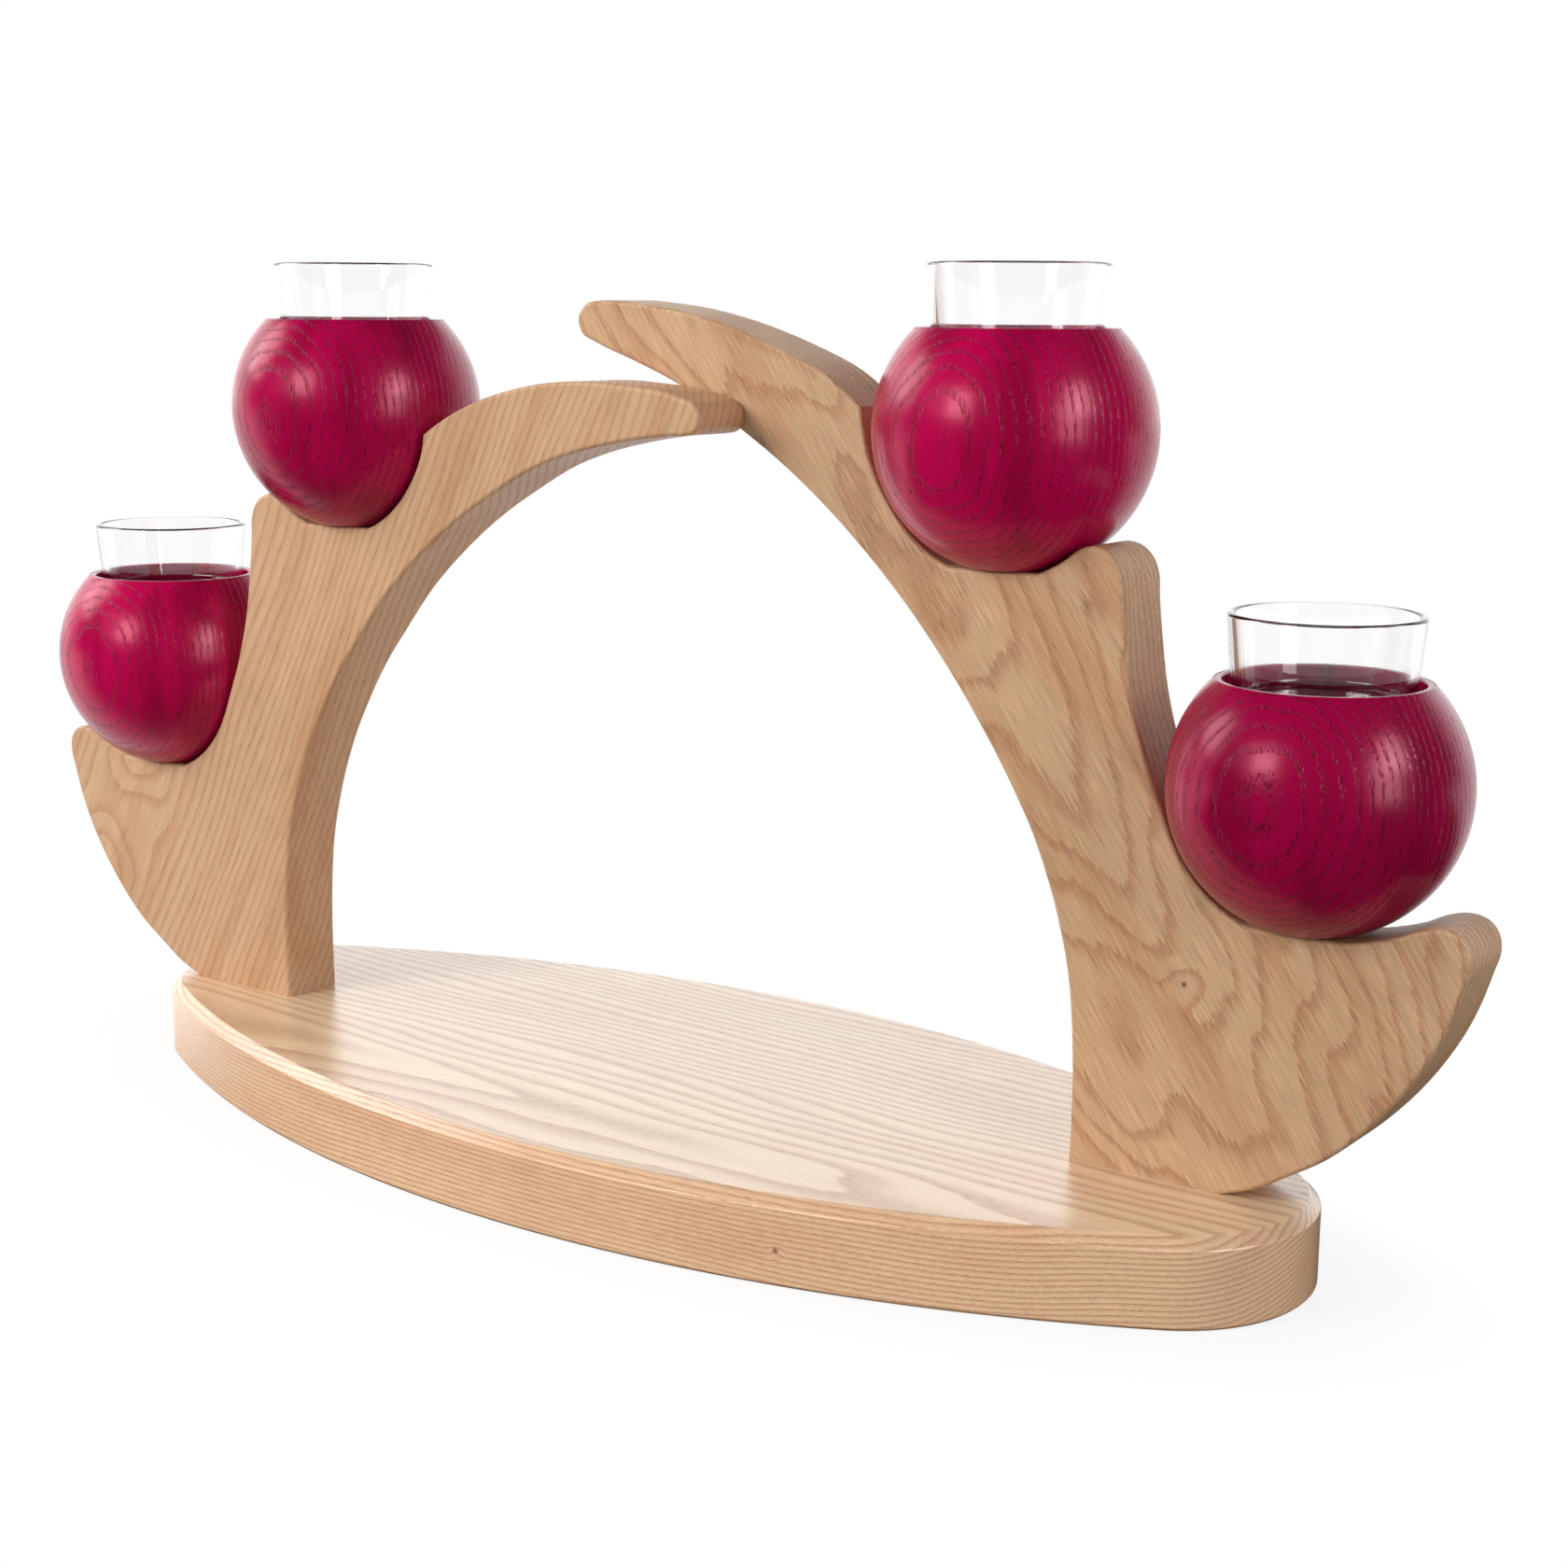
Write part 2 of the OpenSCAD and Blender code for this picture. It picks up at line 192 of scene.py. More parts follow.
BALL_GRAIN = {
    "turn": (0.0, -90.0, 0.0),
    "spacing": 2.6,
    "steepness": 0.50,
    "crown": 40.0,
    "run_out": 0.020,
    "wave": 3.2,
    "wave_reach": (50.0, 24.0, 20.0),
    "tooth": 0.30,
    "early_share": 0.45,
    "contrast": 0.16,
    "fibre": 0.06,
    "pore_share": 0.52,
    "pore_start": 0.49,
    "pore_size": (3.0, 0.6, 0.6),
    "pore_depth": 0.07,
    "roughness": 0.23,
    "coat": 0.0,
    "gloss_tint": linear("FFB4C4"),
    "lathe": 0.008,
}
# The middle of each ball's pattern is shifted by this much, in metres, so no two are alike.
BALL_SHIFTS = {
    "upper_left": (0.001, 0.310, -0.003),
    "upper_right": (-0.003, 0.0, 0.002),
    "lower_left": (0.002, 0.620, 0.001),
    "lower_right": (-0.001, 0.930, 0.004),
}
# How light each ball's colours are made, against the colours in the settings.
BALL_LIGHTNESS = {"upper_left": 1.05, "upper_right": 1.18, "lower_left": 1.18, "lower_right": 0.84}

# A knot's place is in metres in the row frame, where its axis runs along Y. Its reach and the height
# by which it lifts the rings are in millimetres, and heart says how dark its middle is.
BASE_KNOT = {
    "place": (0.094, 0.0, 0.010),
    "reach": 3.0,
    "lift": 0.9,
    "heart": 0.75,
    "colour": linear("7A4F34"),
}
PLATE_KNOT = {
    "place": (0.1705, 0.0, 0.0775),
    "reach": 9.0,
    "lift": 2.6,
    "heart": 0.85,
    "colour": linear("5A3F2A"),
}
# A low spot of the trunk, which the face cuts to a closed eye without a knot in it.
PLATE_EYE = {
    "place": (-0.2166, 0.0, 0.0757),
    "reach": 26.0,
    "lift": 8.0,
    "heart": 0.0,
    "colour": linear("B8825A"),
}
# How far from a knot's axis its dark heart fades, in millimetres.
HEART_EDGE = (0.3, 1.1)

# Colours of the open pores, and of the balls' broad streaks.
BASE_PORE = linear("B98660")
PLATE_PORE = linear("8C5F3C")
BALL_PORE = linear("4A0018")
BALL_STREAK = linear("860030")

# The early wood begins to come in this far through a growth ring, and is full so far into the next.
EARLY_RISE = 0.95
EARLY_FULL = 0.02
# Lengths of the fine streaks that give a ring its teeth, and of the broad streaks, in millimetres.
TOOTH_SIZE = (14, 0.7, 0.7)
STREAK_SIZE = (120, 14, 14)
# Where the noise of the broad streaks turns warm, and how warm they get.
STREAK_EDGE = (0.42, 0.68)
STREAK_SHARE = 0.75
# Fibres are about 0.02 mm wide, and drawn 0.5 mm wide so that they show. Their noise goes from
# its darkest to its lightest over this range.
FIBRE_SIZE = (13, 0.50, 0.50)
FIBRE_EDGE = (0.25, 0.75)
# From the edge of a pore to its full depth, in steps of its noise.
PORE_EDGE = 0.10
# How far the finish sinks over early wood, in millimetres, and how much duller it is there.
EARLY_DIP = 0.01
EARLY_DULLNESS = 0.06
# Faint rings left on the balls by the turning tool are this far apart, in metres.
LATHE_STEP = 0.6 * MM
# Oil and glass bend light alike.
IOR = 1.5

# The base's sawn side ends at this height. Its bevel lies this far up, with this reach to both sides.
SIDE_TOP = 0.0238
BEVEL_HEIGHT = 0.02255
BEVEL_REACH = 1.25 * MM
# Painted light on the base: the planed top is tinted cooler and a little darker and the sawn side warmer,
# to paint how light falls on each, and the bevel is darkened by this share of painted shade.
TOP_PAINTED_TINT = (0.90, 0.93, 0.97, 1.0)
SIDE_PAINTED_TINT = (1.06, 0.97, 0.96, 1.0)
BEVEL_PAINTED_SHADE = 0.14

# Lengths of the flecks in beech and of the clouds in zinc plating along X, Y and Z, in metres.
FLECK_SIZE = (0.7 * MM, 0.7 * MM, 5 * MM)
CLOUD_SIZE = (2 * MM, 2 * MM, 2 * MM)
# Where the noise of the flecks turns dark, and how dark they get.
FLECK_EDGE = (0.5, 0.7)
FLECK_SHARE = 0.7
# How rough raw beech is, and the plating where it is bright and where it is dull.
BEECH_ROUGHNESS = 0.65
PLATING_ROUGHNESS = (0.25, 0.42)


# Nodes and materials


def add_node(tree, kind, settings, inputs):
    """Add one shader node with its settings. An input is a value, or the output that feeds it."""
    node = tree.nodes.new(kind)
    for field, value in settings.items():
        setattr(node, field, value)
    for key, value in inputs.items():
        if isinstance(value, bpy.types.NodeSocket):
            tree.links.new(value, node.inputs[key])
        else:
            node.inputs[key].default_value = value
    return node


def new_material(name):
    """An empty node material with its output node."""
    material = bpy.data.materials.new(name)
    material.use_nodes = True
    material.node_tree.nodes.clear()
    output = material.node_tree.nodes.new("ShaderNodeOutputMaterial")
    return material, material.node_tree, output


def knot_distance(tree, place, knot):
    """How far each place is from the knot's axis, in millimetres."""
    away = add_node(
        tree, "ShaderNodeVectorMath", {"operation": "SUBTRACT"}, {0: place, 1: knot["place"]}
    ).outputs[0]
    away = add_node(
        tree, "ShaderNodeVectorMath", {"operation": "MULTIPLY"}, {0: away, 1: (1 / MM, 0.0, 1 / MM)}
    ).outputs[0]
    return add_node(tree, "ShaderNodeVectorMath", {"operation": "LENGTH"}, {0: away}).outputs["Value"]


def grain_patterns(tree, fibre_frame, grain):
    """The uneven patterns of the grain by name. Each is given by the lengths of its lumps along X, Y
    and Z of the fibre frame, its detail and its roughness."""
    patterns = {
        # Slow waves of the rings, as the trunk wanders.
        "wave": (grain["wave_reach"], 1.5, 0.5),
        # Fine streaks along the grain, which give a ring its toothed edge where it is cut flat.
        "tooth": (TOOTH_SIZE, 3.0, 0.6),
        "streak": (STREAK_SIZE, 3.0, 0.5),
        "fibre": (FIBRE_SIZE, 4.0, 0.5),
        "pore": (grain["pore_size"], 1.0, 0.5),
    }
    drawn = {}
    for name, (lengths, detail, roughness) in patterns.items():
        lumps = add_node(
            tree,
            "ShaderNodeVectorMath",
            {"operation": "MULTIPLY"},
            {0: fibre_frame, 1: [1 / length for length in lengths]},
        ).outputs[0]
        drawn[name] = add_node(
            tree,
            "ShaderNodeTexNoise",
            {},
            {"Vector": lumps, "Scale": 1.0, "Detail": detail, "Roughness": roughness},
        ).outputs[0]
    return drawn


def early_wood(tree, fibre_frame, grain, patterns, lift):
    """How much early wood each place has, by its distance across the growth rings. They are layers
    crowned along the X axis of the fibre frame, which slowly run out."""
    axes = add_node(tree, "ShaderNodeSeparateXYZ", {}, {0: fibre_frame}).outputs
    crowned = add_node(
        tree,
        "ShaderNodeMath",
        {"operation": "MULTIPLY_ADD"},
        {0: axes["Z"], 1: axes["Z"], 2: grain["crown"] ** 2},
    ).outputs[0]
    crowned = add_node(tree, "ShaderNodeMath", {"operation": "SQRT"}, {0: crowned}).outputs[0]
    shares = (
        (crowned, grain["steepness"]),
        (axes["X"], grain["run_out"]),
        (patterns["wave"], 2 * grain["wave"]),
        (patterns["tooth"], 2 * grain["tooth"]),
    )
    across = axes["Y"]
    for part, share in shares:
        across = add_node(
            tree, "ShaderNodeMath", {"operation": "MULTIPLY_ADD"}, {0: part, 1: share, 2: across}
        ).outputs[0]
    if lift is not None:
        across = add_node(tree, "ShaderNodeMath", {"operation": "ADD"}, {0: across, 1: lift}).outputs[0]
    ring = add_node(
        tree, "ShaderNodeMath", {"operation": "DIVIDE"}, {0: across, 1: grain["spacing"]}
    ).outputs[0]
    ring = add_node(tree, "ShaderNodeMath", {"operation": "FRACT"}, {0: ring}).outputs[0]
    # Early wood starts sharply and fades into the denser late wood.
    fading = add_node(
        tree,
        "ShaderNodeMapRange",
        SMOOTH,
        {
            "Value": ring,
            "From Min": EARLY_FULL,
            "From Max": grain["early_share"],
            "To Min": 1.0,
            "To Max": 0.0,
        },
    ).outputs[0]
    rising = add_node(
        tree, "ShaderNodeMapRange", SMOOTH, {"Value": ring, "From Min": EARLY_RISE, "From Max": 1.0}
    ).outputs[0]
    return add_node(
        tree, "ShaderNodeMath", {"operation": "MAXIMUM"}, {0: fading, 1: rising}
    ).outputs[0]


def paint_base_light(tree, wood, place):
    """The base's wood colour with painted light: the top and the sides tinted for how light falls on them,
    and painted shade on the bevel.
    """
    # Painted light: the sawn sides and the bevel are tinted warmer than the planed top, to paint how light
    # falls on them.
    up = add_node(tree, "ShaderNodeSeparateXYZ", {}, {0: place}).outputs["Z"]
    on_side = add_node(tree, "ShaderNodeMath", {"operation": "LESS_THAN"}, {0: up, 1: SIDE_TOP}).outputs[0]
    painted_tint = add_node(
        tree,
        "ShaderNodeMix",
        {"data_type": "RGBA"},
        {MIX_SHARE: on_side, MIX_FIRST: TOP_PAINTED_TINT, MIX_SECOND: SIDE_PAINTED_TINT},
    ).outputs[MIX_COLOUR]
    wood = add_node(
        tree, "ShaderNodeVectorMath", {"operation": "MULTIPLY"}, {0: wood, 1: painted_tint}
    ).outputs[0]
    # Painted shade: the bevel is darkened.
    on_bevel = add_node(
        tree, "ShaderNodeMath", {"operation": "COMPARE"}, {0: up, 1: BEVEL_HEIGHT, 2: BEVEL_REACH}
    ).outputs[0]
    shade = add_node(
        tree,
        "ShaderNodeMath",
        {"operation": "MULTIPLY_ADD"},
        {0: on_bevel, 1: -BEVEL_PAINTED_SHADE, 2: 1.0},
    ).outputs[0]
    return add_node(
        tree, "ShaderNodeVectorMath", {"operation": "SCALE"}, {0: wood, "Scale": shade}
    ).outputs[0]


def ash_material(name, grain, early, late, warm, pore, knot=None, paint_light=False):
    """Sawn and sanded ash under a satin finish. The grain is drawn by cutting curved growth rings,
    so each face of a piece shows them as that cut would: as lines, as arches or as an eye."""
    material, tree, output = new_material(name)
    place = add_node(tree, "ShaderNodeTexCoord", {}, {}).outputs["Object"]
    turn = [math.radians(angle) for angle in grain["turn"]]
    fibre_frame = add_node(
        tree,
        "ShaderNodeMapping",
        {"vector_type": "TEXTURE"},
        {"Vector": place, "Location": grain["origin"], "Rotation": turn, "Scale": (MM, MM, MM)},
    ).outputs[0]
    patterns = grain_patterns(tree, fibre_frame, grain)
    lift = None
    if knot:
        # A pin knot lifts the rings round it, and has a dark middle.
        knot_gap = knot_distance(tree, place, knot)
        lift = add_node(
            tree,
            "ShaderNodeMapRange",
            SMOOTH,
            {
                "Value": knot_gap,
                "From Min": 0.0,
                "From Max": knot["reach"],
                "To Min": knot["lift"],
                "To Max": 0.0,
            },
        ).outputs[0]
    earliness = early_wood(tree, fibre_frame, grain, patterns, lift)

    # Broad streaks of a warmer tone.
    streak = add_node(
        tree,
        "ShaderNodeMapRange",
        SMOOTH,
        {
            "Value": patterns["streak"],
            "From Min": STREAK_EDGE[0],
            "From Max": STREAK_EDGE[1],
            "To Min": 0.0,
            "To Max": STREAK_SHARE,
        },
    ).outputs[0]
    ground = add_node(
        tree,
        "ShaderNodeMix",
        {"data_type": "RGBA"},
        {MIX_SHARE: streak, MIX_FIRST: late, MIX_SECOND: warm},
    ).outputs[MIX_COLOUR]
    darkening = add_node(
        tree, "ShaderNodeMath", {"operation": "MULTIPLY"}, {0: earliness, 1: grain["contrast"]}
    ).outputs[0]
    wood = add_node(
        tree,
        "ShaderNodeMix",
        {"data_type": "RGBA"},
        {MIX_SHARE: darkening, MIX_FIRST: ground, MIX_SECOND: early},
    ).outputs[MIX_COLOUR]
    shade = add_node(
        tree,
        "ShaderNodeMapRange",
        {"clamp": False},
        {
            "Value": patterns["fibre"],
            "From Min": FIBRE_EDGE[0],
            "From Max": FIBRE_EDGE[1],
            "To Min": 1 - grain["fibre"],
            "To Max": 1 + grain["fibre"],
        },
    ).outputs[0]
    wood = add_node(
        tree, "ShaderNodeVectorMath", {"operation": "SCALE"}, {0: wood, "Scale": shade}
    ).outputs[0]

    # Vessels of the early wood are 0.3 mm wide, and drawn 0.5 to 0.6 mm wide so that they show.
    pore_full = grain["pore_start"] + PORE_EDGE
    pores = add_node(
        tree,
        "ShaderNodeMapRange",
        {},
        {"Value": patterns["pore"], "From Min": grain["pore_start"], "From Max": pore_full},
    ).outputs[0]
    pores = add_node(
        tree, "ShaderNodeMath", {"operation": "MULTIPLY"}, {0: pores, 1: earliness}
    ).outputs[0]
    stained = add_node(
        tree, "ShaderNodeMath", {"operation": "MULTIPLY"}, {0: pores, 1: grain["pore_share"]}
    ).outputs[0]
    wood = add_node(
        tree,
        "ShaderNodeMix",
        {"data_type": "RGBA"},
        {MIX_SHARE: stained, MIX_FIRST: wood, MIX_SECOND: pore},
    ).outputs[MIX_COLOUR]
    if knot:
        heart = add_node(
            tree,
            "ShaderNodeMapRange",
            SMOOTH,
            {
                "Value": knot_gap,
                "From Min": HEART_EDGE[0],
                "From Max": HEART_EDGE[1],
                "To Min": knot["heart"],
                "To Max": 0.0,
            },
        ).outputs[0]
        wood = add_node(
            tree,
            "ShaderNodeMix",
            {"data_type": "RGBA"},
            {MIX_SHARE: heart, MIX_FIRST: wood, MIX_SECOND: knot["colour"]},
        ).outputs[MIX_COLOUR]
    # Painted light on the base: its top and sides tinted for how light falls on them, painted shade on its
    # bevel.
    if paint_light:
        wood = paint_base_light(tree, wood, place)

    # The finish sinks a little over pores and soft early wood. Heights are in millimetres.
    dip = add_node(
        tree, "ShaderNodeMath", {"operation": "MULTIPLY"}, {0: pores, 1: -grain["pore_depth"]}
    ).outputs[0]
    relief = add_node(
        tree, "ShaderNodeMath", {"operation": "MULTIPLY_ADD"}, {0: earliness, 1: -EARLY_DIP, 2: dip}
    ).outputs[0]
    if grain["lathe"]:
        # Faint rings left by the turning tool, level all round the ball.
        heights = add_node(tree, "ShaderNodeSeparateXYZ", {}, {0: place}).outputs["Z"]
        passes = add_node(
            tree,
            "ShaderNodeTexNoise",
            {"noise_dimensions": "1D"},
            {"W": heights, "Scale": 1 / LATHE_STEP, "Detail": 2.0},
        ).outputs[0]
        relief = add_node(
            tree,
            "ShaderNodeMath",
            {"operation": "MULTIPLY_ADD"},
            {0: passes, 1: grain["lathe"], 2: relief},
        ).outputs[0]
    bump = add_node(
        tree, "ShaderNodeBump", {}, {"Strength": 1.0, "Distance": MM, "Height": relief}
    ).outputs[0]
    gloss = add_node(
        tree,
        "ShaderNodeMath",
        {"operation": "MULTIPLY_ADD"},
        {0: earliness, 1: EARLY_DULLNESS, 2: grain["roughness"]},
    ).outputs[0]
    shader = add_node(
        tree,
        "ShaderNodeBsdfPrincipled",
        {},
        {
            "Base Color": wood,
            "Roughness": gloss,
            "Normal": bump,
            "IOR": IOR,
            "Specular Tint": grain["gloss_tint"],
            "Coat Weight": grain["coat"],
            "Coat Roughness": grain["roughness"],
            "Coat IOR": IOR,
            "Coat Normal": bump,
        },
    ).outputs[0]
    tree.links.new(shader, output.inputs["Surface"])
    return material


def beech_material(settings):
    """Turned beech dowel: pale pinkish wood with short dark flecks along it, left raw."""
    material, tree, output = new_material("turned_beech")
    place = add_node(tree, "ShaderNodeTexCoord", {}, {}).outputs["Object"]
    per_fleck = [1 / length for length in FLECK_SIZE]
    fleck_place = add_node(
        tree, "ShaderNodeMapping", {}, {"Vector": place, "Scale": per_fleck}
    ).outputs[0]
    flecks = add_node(
        tree, "ShaderNodeTexNoise", {}, {"Vector": fleck_place, "Scale": 1.0, "Detail": 2.0}
    ).outputs[0]
    flecks = add_node(
        tree,
        "ShaderNodeMapRange",
        {},
        {
            "Value": flecks,
            "From Min": FLECK_EDGE[0],
            "From Max": FLECK_EDGE[1],
            "To Min": 0.0,
            "To Max": FLECK_SHARE,
        },
    ).outputs[0]
    wood = add_node(
        tree,
        "ShaderNodeMix",
        {"data_type": "RGBA"},
        {MIX_SHARE: flecks, MIX_FIRST: settings.beech, MIX_SECOND: settings.beech_fleck},
    ).outputs[MIX_COLOUR]
    shader = add_node(
        tree,
        "ShaderNodeBsdfPrincipled",
        {},
        {"Base Color": wood, "Roughness": BEECH_ROUGHNESS, "IOR": IOR},
    ).outputs[0]
    tree.links.new(shader, output.inputs["Surface"])
    return material


def steel_material(settings):
    """Zinc-plated steel: a cool grey metal whose thin plating is a little cloudy."""
    material, tree, output = new_material("zinc_plated_steel")
    place = add_node(tree, "ShaderNodeTexCoord", {}, {}).outputs["Object"]
    per_cloud = [1 / length for length in CLOUD_SIZE]
    cloud_place = add_node(
        tree, "ShaderNodeMapping", {}, {"Vector": place, "Scale": per_cloud}
    ).outputs[0]
    clouds = add_node(
        tree, "ShaderNodeTexNoise", {}, {"Vector": cloud_place, "Scale": 1.0, "Detail": 3.0}
    ).outputs[0]
    colour = add_node(
        tree,
        "ShaderNodeMix",
        {"data_type": "RGBA"},
        {MIX_SHARE: clouds, MIX_FIRST: settings.steel, MIX_SECOND: settings.steel_cloud},
    ).outputs[MIX_COLOUR]
    bright, dull = PLATING_ROUGHNESS
    gloss = add_node(
        tree, "ShaderNodeMapRange", {}, {"Value": clouds, "To Min": bright, "To Max": dull}
    ).outputs[0]
    shader = add_node(
        tree,
        "ShaderNodeBsdfPrincipled",
        {},
        {"Base Color": colour, "Metallic": 1.0, "Roughness": gloss},
    ).outputs[0]
    tree.links.new(shader, output.inputs["Surface"])
    return material


def glass_material(settings):
    """Pressed soda-lime glass: clear, and smooth from the fire."""
    material, tree, output = new_material("pressed_clear_glass")
    shader = add_node(
        tree,
        "ShaderNodeBsdfPrincipled",
        {},
        {"Base Color": settings.tint, "Roughness": 0.0, "IOR": IOR, "Transmission Weight": 1.0},
    ).outputs[0]
    tree.links.new(shader, output.inputs["Surface"])
    return material


# Meshes


def merged_copy(node):
    """The CAD node's mesh in a bmesh, its loose triangles joined and its flat parts made one face each."""
    shape = bmesh.new()
    shape.from_mesh(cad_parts[node].data)
    bmesh.ops.remove_doubles(shape, verts=shape.verts, dist=MERGE_GAP)
    bmesh.ops.dissolve_limit(
        shape, angle_limit=FLAT_ANGLE, use_dissolve_boundaries=False, verts=shape.verts, edges=shape.edges
    )
    return shape


def round_edges(shape, edges, radius):
    """Round these edges off by that radius."""
    bmesh.ops.bevel(
        shape,
        geom=edges,
        offset=radius,
        offset_type="OFFSET",
        affect="EDGES",
        segments=ROUND_STEPS,
        profile=0.5,
        material=-1,
        clamp_overlap=False,
    )


def add_piece(name, shape, material, body, node):
    """Turn the finished bmesh into an object that rides on the body and stands for the CAD node."""
    for face in shape.faces:
        face.smooth = True
    for edge in shape.edges:
        if edge.is_manifold and edge.calc_face_angle() > CRISP_ANGLE:
            edge.smooth = False
    mesh = bpy.data.meshes.new(name)
    shape.to_mesh(mesh)
    shape.free()
    piece = bpy.data.objects.new(name, mesh)
    bpy.context.scene.collection.objects.link(piece)
    mesh.materials.append(material)
    shading = piece.modifiers.new("Even shading", "WEIGHTED_NORMAL")
    shading.keep_sharp = True
    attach(piece, body)
    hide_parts(node)
    return piece


def fixing_boxes():
    """The boxes of all screws, dowels and the pin, which mark the bored holes."""
    names = [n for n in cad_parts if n.endswith(("_screw", "_dowel", "_pin"))]
    return [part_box(name) for name in names]


def at_bored_hole(edge, boxes, gap):
    """Whether the middle of the edge lies in the box of a fixing, made larger all round by the gap."""
    middle = (edge.verts[0].co + edge.verts[1].co) / 2
    return any(
        all(low[i] - gap < middle[i] < high[i] + gap for i in range(3)) for low, high in boxes
    )


def ball_shape(centre, settings):
    """A turned ball: a sphere cut flat at the mouth and the seat, with its recess and dowel hole."""
    radius = settings.diameter / 2
    shape = bmesh.new()
    bmesh.ops.create_uvsphere(shape, u_segments=BALL_STEPS, v_segments=BALL_STEPS // 2, radius=radius)
    cuts = (
        (1, settings.mouth, settings.recess, settings.recess_depth),
        (-1, settings.seat, settings.dowel_hole, settings.dowel_hole_depth),
    )
    rims = []
    for up, flat, bore, depth in cuts:
        height = up * math.sqrt(radius**2 - (flat / 2) ** 2)
        cut = bmesh.ops.bisect_plane(
            shape,
            geom=shape.verts[:] + shape.edges[:] + shape.faces[:],
            dist=MERGE_GAP,
            plane_co=(0, 0, height),
            plane_no=(0, 0, up),
            clear_outer=True,
        )
        circle = [part for part in cut["geom_cut"] if isinstance(part, bmesh.types.BMEdge)]
        floor = bmesh.ops.contextual_create(shape, geom=circle)["faces"]
        bmesh.ops.recalc_face_normals(shape, faces=shape.faces)
        bmesh.ops.inset_region(shape, faces=floor, thickness=(flat - bore) / 2, use_even_offset=True)
        mouth = [edge for face in floor for edge in face.edges]
        bmesh.ops.inset_region(shape, faces=floor, thickness=0, depth=-depth)
        rims += circle
        if up > 0:
            rims += mouth
    rims = [edge for edge in rims if edge.is_valid]
    round_edges(shape, rims, settings.rim_round)
    bmesh.ops.recalc_face_normals(shape, faces=shape.faces)
    bmesh.ops.translate(shape, vec=centre, verts=shape.verts)
    return shape


def glass_shape(foot, height, settings):
    """A pressed cup: half its outline, rounded at the corners, spun round the upright axis."""
    rim = settings.rim / 2
    base = settings.foot / 2
    wall = settings.wall
    rim_round = wall * RIM_ROUND_SHARE
    corners = (
        ((0, 0), 0),
        ((base, 0), settings.foot_round),
        ((rim, height), rim_round),
        ((rim - wall, height), rim_round),
        ((base - wall, settings.floor), settings.floor_round),
        ((0, settings.floor), 0),
    )
    shape = bmesh.new()
    verts = [shape.verts.new((across, 0, up)) for (across, up), _ in corners]
    for first, second in zip(verts, verts[1:]):
        shape.edges.new((first, second))
    for vert, (_, corner_round) in zip(verts, corners):
        if corner_round:
            bmesh.ops.bevel(
                shape,
                geom=[vert],
                offset=corner_round,
                offset_type="OFFSET",
                affect="VERTICES",
                segments=GLASS_ROUND_STEPS,
                profile=0.5,
                material=-1,
            )
    bmesh.ops.spin(
        shape,
        geom=shape.verts[:] + shape.edges[:],
        cent=(0, 0, 0),
        axis=(0, 0, 1),
        angle=math.tau,
        steps=GLASS_STEPS,
        use_merge=True,
    )
    bmesh.ops.remove_doubles(shape, verts=shape.verts, dist=MERGE_GAP)
    bmesh.ops.recalc_face_normals(shape, faces=shape.faces)
    bmesh.ops.translate(shape, vec=foot, verts=shape.verts)
    return shape


# What a user would change


class BaseSettings(bpy.types.PropertyGroup):
    """Sizes and colours of the base board."""

    edge_round: FloatProperty(
        name="Edge softening",
        description="Radius that the sander leaves on the base's edges",
        default=0.3 * MM,
        min=0.2 * MM,
        max=1.2 * MM,
        precision=4,
        unit="LENGTH",
        subtype="DISTANCE",
    )
    early: FloatVectorProperty(
        name="Early wood",
        description="Colour of the porous lines in the pale board",
        size=4,
        min=0,
        max=1,
        default=linear("C08A60"),
        subtype="COLOR",
    )
    late: FloatVectorProperty(
        name="Late wood",
        description="Colour of the dense wood between the lines",
        size=4,
        min=0,
        max=1,
        default=linear("F8D6AC"),
        subtype="COLOR",
    )
    warm: FloatVectorProperty(
        name="Warm streaks",
        description="Colour of the broad warmer streaks",
        size=4,
        min=0,
        max=1,
        default=linear("F0C6A0"),
        subtype="COLOR",
    )


class PlateSettings(bpy.types.PropertyGroup):
    """Sizes and colours of the two halves of the arch."""

    edge_round: FloatProperty(
        name="Edge round",
        description="Radius routed along the outlines of both halves",
        default=1.3 * MM,
        min=0.3 * MM,
        max=2.0 * MM,
        precision=4,
        unit="LENGTH",
        subtype="DISTANCE",
    )
    early: FloatVectorProperty(
        name="Early wood",
        description="Colour of the porous part of a growth ring",
        size=4,
        min=0,
        max=1,
        default=linear("AF7953"),
        subtype="COLOR",
    )
    late: FloatVectorProperty(
        name="Late wood",
        description="Colour of the dense part of a growth ring",
        size=4,
        min=0,
        max=1,
        default=linear("D2AA84"),
        subtype="COLOR",
    )
    warm: FloatVectorProperty(
        name="Warm streaks",
        description="Colour of the broad warmer streaks",
        size=4,
        min=0,
        max=1,
        default=linear("C5956D"),
        subtype="COLOR",
    )


